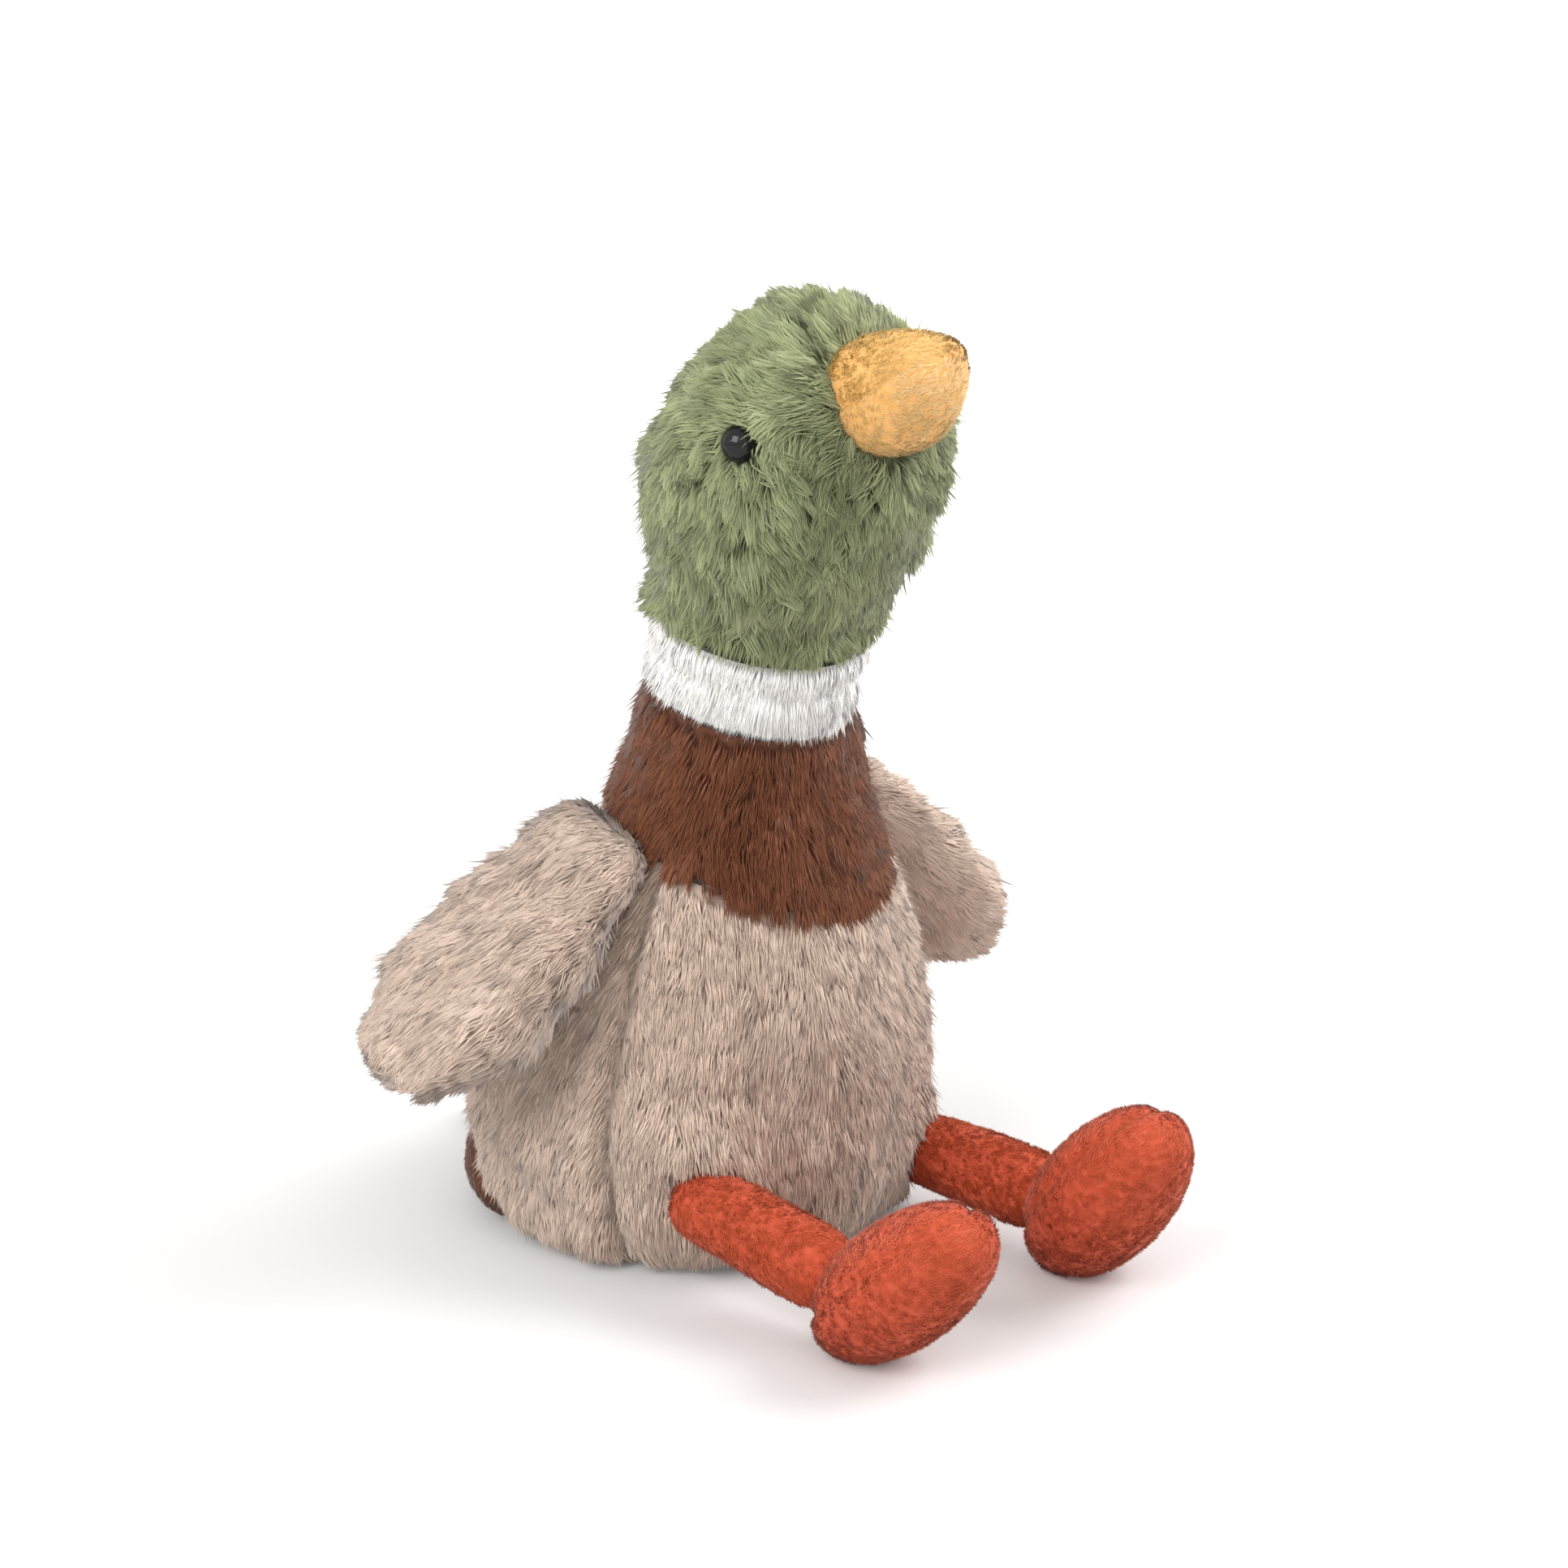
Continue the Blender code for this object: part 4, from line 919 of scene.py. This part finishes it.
def trunk_sink(point):
    """Drawn in along the side seams, puckered low down behind them, and full over the legs."""
    beside, side = by_side_seam(point)
    seam = 1.9 * MM * bell(beside, 1.9 * MM) * side
    low = ramp(-point[:, 2], -56, -30) * ramp(beside, 0, 6)
    brow = 0
    for name, height in (("left", 1.6), ("right", 3.8)):
        cuff = bell(off_leg(LEGS[name], point)[0] - 10.5 * MM, 3.5 * MM) * (point[:, 1] < 0)
        over = bell(off_leg(LEGS[name], point, 13 * MM)[0], 7 * MM)
        brow = brow + height * MM * over + 1.2 * MM * cuff
    return seam - lumps(point, 9, 30, 1.4) - low * lumps(point, 10, 15, 2.0) - brow


def leg_sink(point):
    """A little fuller all round."""
    return -0.3 * MM - lumps(point, 15, 14, 0.5)


def neck_sink(point):
    """Filled out in slow lumps."""
    return -lumps(point, 11, 26, 1.2)


def rump_sink(point):
    """Full low down, where the beans press the toy's seat out."""
    return -1.0 * MM - 3.6 * MM * bell(point[:, 2] - 9 * MM, 8 * MM) - lumps(point, 14, 20, 0.6)


def wing_sink(place, fullness):
    """Fuller at the shoulder and along the front edge, and uneven."""
    def sink(point):
        local = local_to(place, point)
        shoulder = 1.6 * MM * bell(local[:, 0] + 2 * MM, 9 * MM)
        front = ramp(-local[:, 1], 0, 18) ** 2 * bell(local[:, 0] - 40 * MM, 22 * MM)
        return -shoulder - fullness * MM * front - lumps(point, 12, 18, 1.8)
    return sink


def nap_patches(seed, size, amount):
    """Brushed light and dark patches, as a hand leaves them in velour."""
    def shade(point, normal):
        rng = np.random.default_rng(seed)
        return amount * waves(point, rng, size * MM) + 0.05 * waves(point, rng, size * MM / 3)
    return shade


# Settings


class DuckPileSettings(bpy.types.PropertyGroup):
    head_length: FloatProperty(name="Head pile", description="Length of the head's pile against its usual length",
                               default=1.0, min=0.3, max=1.5)
    body_length: FloatProperty(name="Body pile", description="Length of the body's pile against its usual length",
                               default=1.0, min=0.3, max=1.5)
    seed: IntProperty(name="Seed", description="Changes how the locks fall", default=11, min=0)


def colour_setting(label, words, value):
    """A colour among the settings."""
    return FloatVectorProperty(name=label, description=words, subtype="COLOR", size=3, min=0, max=1, default=value)


class DuckColourSettings(bpy.types.PropertyGroup):
    taupe_root: colour_setting("Taupe root", "Body and wing pile at its root", (0.50, 0.385, 0.315))
    taupe_tip: colour_setting("Taupe tip", "Body and wing pile at its tip", (0.69, 0.535, 0.435))
    chestnut_root: colour_setting("Chestnut root", "Neck and rump pile at its root", (0.085, 0.026, 0.011))
    chestnut_tip: colour_setting("Chestnut tip", "Neck and rump pile at its tip", (0.215, 0.070, 0.027))
    white_root: colour_setting("White root", "Ring pile at its root", (0.97, 0.96, 0.93))
    white_tip: colour_setting("White tip", "Ring pile at its tip", (1.0, 0.99, 0.95))
    # The head's pile is much darker at its root than at its tip: painted shade for the valleys between its locks
    green_root: colour_setting("Green root", "Head pile at its root", (0.065, 0.078, 0.035))
    green_tip: colour_setting("Green tip", "Head pile at its tip", (0.395, 0.435, 0.228))
    gold_root: colour_setting("Gold root", "Bill velour at its root", (0.64, 0.27, 0.045))
    gold_tip: colour_setting("Gold tip", "Bill velour at its tip", (0.96, 0.64, 0.19))
    rust_root: colour_setting("Rust root", "Leg velour at its root", (0.38, 0.033, 0.008))
    rust_tip: colour_setting("Rust tip", "Leg velour at its tip", (0.77, 0.130, 0.038))


class DuckStudioSettings(bpy.types.PropertyGroup):
    left_power: FloatProperty(name="Left lamp", description="Power of the large lamp on the left", default=18.0,
                              min=0, unit="POWER")
    right_power: FloatProperty(name="Right lamp", description="Power of the large lamp on the right", default=22.0,
                               min=0, unit="POWER")
    sky: FloatProperty(name="Sky", description="Strength of the even light from all round", default=1.0, min=0)


def settings():
    """The scene's three groups of settings."""
    scene = bpy.context.scene
    return scene.duck_pile, scene.duck_colours, scene.duck_studio


def rng_for(number):
    """Each piece's own random draws, all changed by the seed."""
    return np.random.default_rng(settings()[0].seed * 1000 + number)


def shared(name, make, *values, **more):
    """The material of a name, made the first time it is asked for."""
    return bpy.data.materials.get(name) or make(name, *values, **more)


# Each cloth: its material's name, a slot's name, and how its shade differs from plain pile
CLOTHS = {
    "taupe": ("Taupe pile", "taupe_pile", {}),
    "chestnut": ("Chestnut pile", "brown_pile", dict(darkest=0.6, lightest=1.4)),
    "white": ("White pile", "white_pile", dict(darkest=0.9, lightest=1.06, grain=0.1)),
    "green": ("Green pile", "green_pile", dict(fade=1.0, darkest=0.55, lightest=1.45, sheen=0.2)),
    "gold": ("Gold velour", "bill_velour", dict(
        fade=0.9, darkest=0.76, lightest=1.22, sheen=0.08, saturation=(1.06, 0.80))),
    "rust": ("Rust velour", "leg_velour", dict(
        fade=0.9, darkest=0.55, lightest=1.35, sheen=0.06, saturation=(1.02, 0.92))),
}


def fibre():
    """The filling's material."""
    return shared("Fibre filling", filling_material, (0.80, 0.79, 0.76))


def pelt(name, parts, colour, body, nodes):
    """A soft piece in one of the cloths."""
    label, slot, more = CLOTHS[colour]
    colours = settings()[1]
    root, tip = getattr(colours, colour + "_root"), getattr(colours, colour + "_tip")
    piece(name, parts, shared(label, cloth, root, tip, **more), body, slot, nodes)


def panel_pelt(name, surface, number, kind, comb, colour, node, grid, wrap=False, sink=None, **more):
    """One panel of the trunk: pile over a thin closed backing."""
    depth = PILES[kind][-1]
    pile = grow(
        surface, rng_for(number), kind, comb, wrap=wrap, sink=sink, length_share=settings()[0].body_length, **more)
    skin = shell_skin(surface, depth, depth + BACKING_WALL, *grid, wrap=wrap, sink=sink)
    pelt(name, (skin, pile), colour, "torso", (node,))


def limb_pelt(name, surface, number, kind, comb, colour, body, nodes, grid=(48, 40), sink=None, **more):
    """A form closed at both ends: pile or velour over a closed backing."""
    pile = grow(surface, rng_for(number), kind, comb, sink=sink, **more)
    lift = VELOUR_BACKING_LIFT if kind == "velour" else 0
    skin = closed_skin(surface, PILES[kind][-1], *grid, sink=sink, map_lift=lift)
    pelt(name, (skin, pile), colour, body, nodes)


# Pieces


class DUCK_OT_body(bpy.types.Operator):
    """Makes the trunk's taupe pile in its front and back panels, and the flat base"""
    bl_idname = "duck.body"
    bl_label = "Body"

    def execute(self, context):
        for name, surface, node, number in (
                ("belly_pelt", front_panel, "body_front_panel", 1),
                ("back_pelt_left", back_panel(1), "body_back_left", 2),
                ("back_pelt_right", back_panel(-1), "body_back_right", 3)):
            panel_pelt(
                name, surface, number, "body", trunk_comb, "taupe", node, (72, 60), keep=trunk_keep, crop=trunk_crop,
                shade=trunk_shade, sink=trunk_sink)

        def base(u, v):
            """A flat disc: out along its underside, up its edge and back in along its top."""
            radius = np.interp(v, (0, 0.46, 0.54, 1), (0, 39.4, 39.4, 0)) * MM
            height = np.interp(v, (0, 0.46, 0.54, 1), (0.3, 0.3, 2.4, 2.4)) * MM
            turn = 2 * math.pi * u
            return np.stack((radius * np.sin(turn), -1.0 * MM - radius * np.cos(turn), height), -1)
        plain = shared("Base cloth", filling_material, (0.42, 0.33, 0.27), cloud=300.0, thread=2600.0, depth=0.18)
        piece("base_pelt", (closed_skin(base, 0.0),), plain, "torso", "taupe_pile", ("base_panel",))
        return {"FINISHED"}


class DUCK_OT_neck(bpy.types.Operator):
    """Makes the chestnut bib and rump, and the white ring"""
    bl_idname = "duck.neck"
    bl_label = "Neck"

    def execute(self, context):
        panel_pelt(
            "bib_pelt", neck_panel, 4, "neck", down, "chestnut", "neck_cover", (64, 24), wrap=True, sink=neck_sink)
        panel_pelt(
            "rump_pelt", rump_panel, 5, "neck", down, "chestnut", "rump_panel", (32, 14), crop=trunk_crop,
            sink=rump_sink)
        # The ring's cloth band: a thin upright section whose lip leans out under the head, carried round the neck
        stops = (0, 0.3, 0.5, 0.55, 0.65, 0.95, 1)
        columns, rows = 64, 20
        i, j = np.meshgrid(np.arange(columns) / columns, np.arange(rows) / rows, indexing="ij")
        radius = np.interp(j.ravel(), stops, (21.6, 21.6, 23.2, 22.3, 20.5, 20.5, 21.6)) * MM
        height = np.interp(j.ravel(), stops, (0.4, 12.8, 18.0, 17.0, 14.6, 0.4, 0.4)) * MM
        points = round_neck(2 * math.pi * i.ravel(), height, radius)
        band = (points, grid_faces(columns, rows, True, True), backing_map(len(points)))
        pile = grow(ring_band, rng_for(6), "ring", down, crop=ring_crop, sink=ring_sink)
        pelt("ring_pelt", (band, pile), "white", "ring", ("collar",))
        return {"FINISHED"}


class DUCK_OT_head(bpy.types.Operator):
    """Makes the head's long green pile over a closed backing that sits on the neck's ball"""
    bl_idname = "duck.head"
    bl_label = "Head"

    def execute(self, context):
        depth = PILES["head"][-1] * MM
        columns, rows = 72, 64
        i, j = np.meshgrid(np.arange(columns), np.arange(1, rows), indexing="ij")
        u, v = (i / columns).ravel(), (j / rows).ravel()
        turn = (2 * u - 1) * math.pi
        low = rim_level(turn)

        def inset(climb):
            """The head's skin at a climb, drawn in under the pile."""
            point, normal, _, _ = at(head, turn, climb)
            return point - (depth + head_sink(point))[:, None] * normal
        # Up the ball from its pole to the inset rim, then up the head to the crown
        rim = inset(low) - NOD_CENTRE
        under = np.clip(v / BALL_SHARE, 0, 1)[:, None]
        way = unit(-NECK_AXIS * (1 - under) + unit(rim) * under)
        far = np.linalg.norm(rim, axis=-1)[:, None]
        ball = NOD_CENTRE + way * ((BALL_RADIUS - 0.3 * MM) * (1 - under) + far * under)
        outer = inset(low + np.clip((v - BALL_SHARE) / (1 - BALL_SHARE), 0, 1) * (1 - low))
        points = np.where((v < BALL_SHARE)[:, None], ball, outer)
        ends = np.array((NOD_CENTRE - BALL_RADIUS * NECK_AXIS, head(np.zeros(1), np.ones(1))[0] - (0, 0, depth)))
        points = np.concatenate((points, ends))
        skin = (points, capped_faces(columns, rows - 1), backing_map(len(points)))
        pile = grow(
            head_panel, rng_for(7), "head", head_comb, keep=head_keep, crop=head_crop, shade=head_shade,
            sink=head_sink, length_share=settings()[0].head_length)
        pelt("head_pelt", (skin, pile), "green", "head", ("head_gusset", "head_side_left", "head_side_right"))
        return {"FINISHED"}


class DUCK_OT_bill(bpy.types.Operator):
    """Makes the bill's gold velour, upper and lower halves in one closed cover, and its filling"""
    bl_idname = "duck.bill"
    bl_label = "Bill"

    def execute(self, context):
        def along_and_up(point):
            """Place along the bill, and height over its seam."""
            local = local_to(BILL, point)
            return local[:, 0], local[:, 2] - bill_middle(local[:, 0])

        def shade(point, normal):
            """Paler at the tip and underneath, deeper across the upper face, with painted shade near the root, where
            the head shades it, and in the seam between the halves.
            """
            along, up = along_and_up(point)
            tip = ramp(along, 25, 36)
            under = np.clip(-up / (1.2 * MM) + 0.5, 0, 1)
            root = bell(along - 12 * MM, 7 * MM)
            seam = bell(up, 0.7 * MM)
            nap = nap_patches(21, 9, 0.06)(point, normal)
            # The root and seam terms are painted shade
            return 0.30 * tip + 0.42 * under - 0.20 * root * (1 - 0.7 * under) - 0.25 * seam * (1 - tip) + nap - 0.22

        def outside(point):
            """No nap roots where the bill stands in the head."""
            return local_to(BILL, point)[:, 0] > 8 * MM

        def groove(point):
            """The seam between the halves draws the cover in along each side, less and less towards the tip."""
            along, up = along_and_up(point)
            return 0.5 * MM * ramp(-along, -34, -18) * bell(up, 0.9 * MM)
        limb_pelt(
            "bill_cover", bill, 8, "velour", along_limb, "gold", "head", ("bill_upper", "bill_lower"), (64, 48),
            keep=outside, shade=shade, sink=groove)
        filling = closed_skin(bill, 2.6, columns=32, rows=24)
        piece("bill_filling", (filling,), fibre(), "head", "fibre", ("bill_stuffing",))
        return {"FINISHED"}


class DUCK_OT_eyes(bpy.types.Operator):
    """Makes the two polished eye domes on their stems"""
    bl_idname = "duck.eyes"
    bl_label = "Eyes"

    def execute(self, context):
        # Radius and height along an eye's outline: a stem, a rounded rim and a dome
        bend = np.linspace(0.09, math.pi / 2, 9)
        cap = np.stack((4.25 * np.cos(bend), 4.2 * np.sin(bend)), -1)
        outline = np.concatenate((((0, -8.5), (1.5, -8.5), (1.5, -0.1), (3.95, -0.05), (4.25, 0.35)), cap)) * MM
        reach = np.concatenate(([0], np.cumsum(np.hypot(*np.diff(outline, axis=0).T))))
        for side, (origin, axis) in EYES.items():
            axis = unit(np.array(axis))
            across = unit(np.cross(axis, (0.0, 0.0, 1.0)))

            def dome(u, v, origin=np.array(origin) * MM, axis=axis, across=across, above=np.cross(axis, across)):
                """The outline turned round the eye's axis."""
                radius = np.interp(v * reach[-1], reach, outline[:, 0])
                height = np.interp(v * reach[-1], reach, outline[:, 1])
                turn = 2 * math.pi * u
                way = np.cos(turn)[..., None] * across + np.sin(turn)[..., None] * above
                return origin + height[..., None] * axis + radius[..., None] * way
            points, faces, maps = closed_skin(dome, 0.0, columns=40, rows=64)
            volume = dot(points[faces[:, 0]], np.cross(points[faces[:, 1]], points[faces[:, 2]])).sum()
            if volume < 0:
                faces = faces[:, ::-1]
            piece(
                "eye_dome_" + side, ((points, faces, maps),), shared("Eye plastic", eye_material), "head", "eye",
                ("eye_" + side,))
        return {"FINISHED"}


class DUCK_OT_wings(bpy.types.Operator):
    """Makes the two wings' long taupe pile"""
    bl_idname = "duck.wings"
    bl_label = "Wings"

    def execute(self, context):
        # The third number is painted light on the wing's inner face, which lies in the shade of the body and the wing
        # itself
        for number, side, painted_light_inside, front_fullness in ((10, "left", 0.60, 1.2), (11, "right", 0.0, 3.6)):
            place = WINGS[side]

            def shade(point, normal, place=place, painted_light_inside=painted_light_inside):
                """Paler towards the tip, and painted light on the left wing's inner face, which faces down and in,
                away from the lamps.
                """
                shaded_face = np.clip(0.5 - normal @ np.array(place[1][2]), 0, 1)
                return 0.12 * ramp(local_to(place, point)[:, 0], 0, 60) + painted_light_inside * shaded_face

            def crop(point, place=place):
                """Shorter round both ends."""
                along = local_to(place, point)[:, 0]
                return 1 - 0.4 * ramp(along, 52, 68) - 0.45 * bell(along + 4 * MM, 6 * MM)
            limb_pelt(
                "wing_pelt_" + side, limb(WING_ROWS, place, oval), number, "wing", wing_comb(place), "taupe",
                "wing_" + side, ("wing_{}_outer".format(side), "wing_{}_inner".format(side)), crop=crop, shade=shade,
                sink=wing_sink(place, front_fullness), length_share=settings()[0].body_length)
        return {"FINISHED"}


class DUCK_OT_legs(bpy.types.Operator):
    """Makes the legs and feet in rust velour, each foot with its seam"""
    bl_idname = "duck.legs"
    bl_label = "Legs"

    def execute(self, context):
        # The third number is how much darker each leg is; on the left leg most of it is painted shade from the body
        # over it
        for number, side, dark, full in ((0, "left", 0.45, 1.7), (1, "right", 0.20, 1.1)):
            def leg_shade(point, normal, number=number, dark=dark):
                """Brushed nap patches, and a darkening over the whole leg, much deeper on the left leg: painted shade
                where the body shades it.
                """
                return nap_patches(31 + number, 12, 0.07)(point, normal) - dark
            limb_pelt(
                "leg_cover_" + side, limb(LEG_ROWS, LEGS[side], oval), 20 + number, "velour", along_limb, "rust",
                "leg_" + side, ("leg_{}_cover".format(side),), shade=leg_shade, sink=leg_sink)
            place = FEET[side]

            def from_seam(point, place=place):
                return np.abs(local_to(place, point)[:, 2] - FOOT_SEAM)

            def groove(point, from_seam=from_seam, full=full):
                """The seam draws the cover in along a narrow line, and the filling stands it out elsewhere."""
                return 1.1 * MM * bell(from_seam(point), 1.3 * MM) - full * MM

            def foot_shade(point, normal, place=place, from_seam=from_seam, number=number):
                """Painted shade in the seam's groove and down the sole's middle, which leaves the sole's edge paler,
                and painted light on the upper face.
                """
                local = local_to(place, point)
                upper = np.clip((local[:, 2] - FOOT_SEAM) / (3 * MM), 0, 1)
                middle = bell(local[:, 0], 17 * MM) * bell(local[:, 1], 8 * MM) * (local[:, 2] < 0)
                seam = bell(from_seam(point), 0.9 * MM) * bell(local[:, 0], 24 * MM)
                # The upper term is painted light; the middle and seam terms are painted shade
                return 0.48 * upper - 0.12 * middle - 0.3 * seam + nap_patches(41 + number, 10, 0.07)(point, normal)

            def crop(point, from_seam=from_seam):
                """Shorter in the seam."""
                return 1 - 0.4 * bell(from_seam(point), 1.0 * MM)
            limb_pelt(
                "foot_cover_" + side, limb(FOOT_ROWS, place, oval), 30 + number, "velour", along_limb, "rust",
                "foot_" + side, ("foot_{}_upper".format(side), "foot_{}_sole".format(side)), (72, 60), crop=crop,
                shade=foot_shade, sink=groove)
        return {"FINISHED"}


class DUCK_OT_tail(bpy.types.Operator):
    """Makes the short chestnut tail"""
    bl_idname = "duck.tail"
    bl_label = "Tail"

    def execute(self, context):
        limb_pelt(
            "tail_pelt", limb(TAIL_ROWS, TAIL, oval), 40, "tail", along_limb, "chestnut", "tail",
            ("tail_upper", "tail_lower"), (32, 20))
        return {"FINISHED"}


class DUCK_OT_filling(bpy.types.Operator):
    """Finishes the parts inside: fibre, the bean bag and the eye washers"""
    bl_idname = "duck.filling"
    bl_label = "Filling"

    def execute(self, context):
        linen = shared("Bean bag linen", filling_material, (0.60, 0.55, 0.48), cloud=500.0, thread=3000.0)
        washer = shared("Washer plastic", filling_material, (0.75, 0.75, 0.72), depth=0.05, roughness=0.5, bump=0.08)
        for word, material in (("stuffing", fibre()), ("washer", washer), ("bean_bag", linen)):
            for name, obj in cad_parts.items():
                if word in name:
                    obj.data.materials.clear()
                    obj.data.materials.append(material)
        return {"FINISHED"}


class DUCK_OT_stage(bpy.types.Operator):
    """Makes the pale floor, the soft lamps, the even sky and the camera"""
    bl_idname = "duck.stage"
    bl_label = "Stage"

    def execute(self, context):
        studio = settings()[2]
        scene = context.scene
        scene.view_settings.view_transform = "Standard"

        def put(name, data, place=(0, 0, 0), aim=None):
            """An object in the scene, looking at a point."""
            obj = bpy.data.objects.new(name, data)
            scene.collection.objects.link(obj)
            obj.location = place
            if aim is not None:
                obj.rotation_euler = (Vector(aim) - Vector(place)).to_track_quat("-Z", "Y").to_euler()
            return obj
        mesh = bpy.data.meshes.new("floor")
        corners = [(x * FLOOR_HALF, y * FLOOR_HALF, 0) for x, y in ((-1, -1), (1, -1), (1, 1), (-1, 1))]
        mesh.from_pydata(corners, [], [(0, 1, 2, 3)])
        mesh.materials.append(floor_material("Floor paper"))
        put("floor", mesh)
        scene.world = bpy.data.worlds.new("Studio")
        scene.world.use_nodes = True
        tree = scene.world.node_tree
        background = tree.nodes["Background"]
        feed(tree, background, {"Color": (1.0, 0.99, 0.98, 1), "Strength": studio.sky})
        white = add_node(tree, "ShaderNodeBackground", (0, -200), {"Color": (1, 1, 1, 1), "Strength": 1.0})
        path = add_node(tree, "ShaderNodeLightPath", (-300, 200)).outputs
        through = maths(tree, "MAXIMUM", (-100, 0), path["Is Camera Ray"], path["Is Transmission Ray"])
        seen = maths(tree, "MAXIMUM", (-100, 200), through, path["Is Glossy Ray"])
        mix = add_node(
            tree, "ShaderNodeMixShader", (200, 0), {0: seen, 1: background.outputs[0], 2: white.outputs[0]})
        feed(tree, tree.nodes["World Output"], {"Surface": mix.outputs[0]})
        for name, place, power in (
                ("Left lamp", (-1.40, -0.20, 1.15), studio.left_power),
                ("Right lamp", (1.05, -0.75, 1.20), studio.right_power)):
            lamp = bpy.data.lights.new(name, "AREA")
            lamp.size = 1.0
            lamp.energy = power
            put(name, lamp, place, LAMP_AIM)
        data = bpy.data.cameras.new("Camera")
        data.sensor_width = SENSOR_MM
        data.lens = SENSOR_MM * FOCAL_PIXELS / IMAGE_PIXELS
        scene.camera = put("Camera", data, CAMERA_PLACE, CAMERA_AIM)
        return {"FINISHED"}


class DUCK_PT_panel(bpy.types.Panel):
    """Lists the duck's settings and the operators that make it"""
    bl_idname = "DUCK_PT_panel"
    bl_label = "Plush Duck"
    bl_space_type = "VIEW_3D"
    bl_region_type = "UI"
    bl_category = "Plush Duck"

    def draw(self, context):
        for group in settings():
            box = self.layout.box()
            for name in group.__annotations__:
                box.prop(group, name)
        for operator in OPERATORS:
            self.layout.operator(operator.bl_idname)


GROUPS = (DuckPileSettings, DuckColourSettings, DuckStudioSettings)
OPERATORS = (
    DUCK_OT_body, DUCK_OT_neck, DUCK_OT_head, DUCK_OT_bill, DUCK_OT_eyes, DUCK_OT_wings, DUCK_OT_legs, DUCK_OT_tail,
    DUCK_OT_filling, DUCK_OT_stage,
)


def register():
    for kind in (*GROUPS, *OPERATORS, DUCK_PT_panel):
        bpy.utils.register_class(kind)
    bpy.types.Scene.duck_pile = PointerProperty(type=DuckPileSettings)
    bpy.types.Scene.duck_colours = PointerProperty(type=DuckColourSettings)
    bpy.types.Scene.duck_studio = PointerProperty(type=DuckStudioSettings)


def unregister():
    del bpy.types.Scene.duck_studio
    del bpy.types.Scene.duck_colours
    del bpy.types.Scene.duck_pile
    for kind in reversed((*GROUPS, *OPERATORS, DUCK_PT_panel)):
        bpy.utils.unregister_class(kind)


def main():
    register()
    bpy.ops.duck.body()
    bpy.ops.duck.neck()
    bpy.ops.duck.head()
    bpy.ops.duck.bill()
    bpy.ops.duck.eyes()
    bpy.ops.duck.wings()
    bpy.ops.duck.legs()
    bpy.ops.duck.tail()
    bpy.ops.duck.filling()
    bpy.ops.duck.stage()


if __name__ == "__main__":
    main()
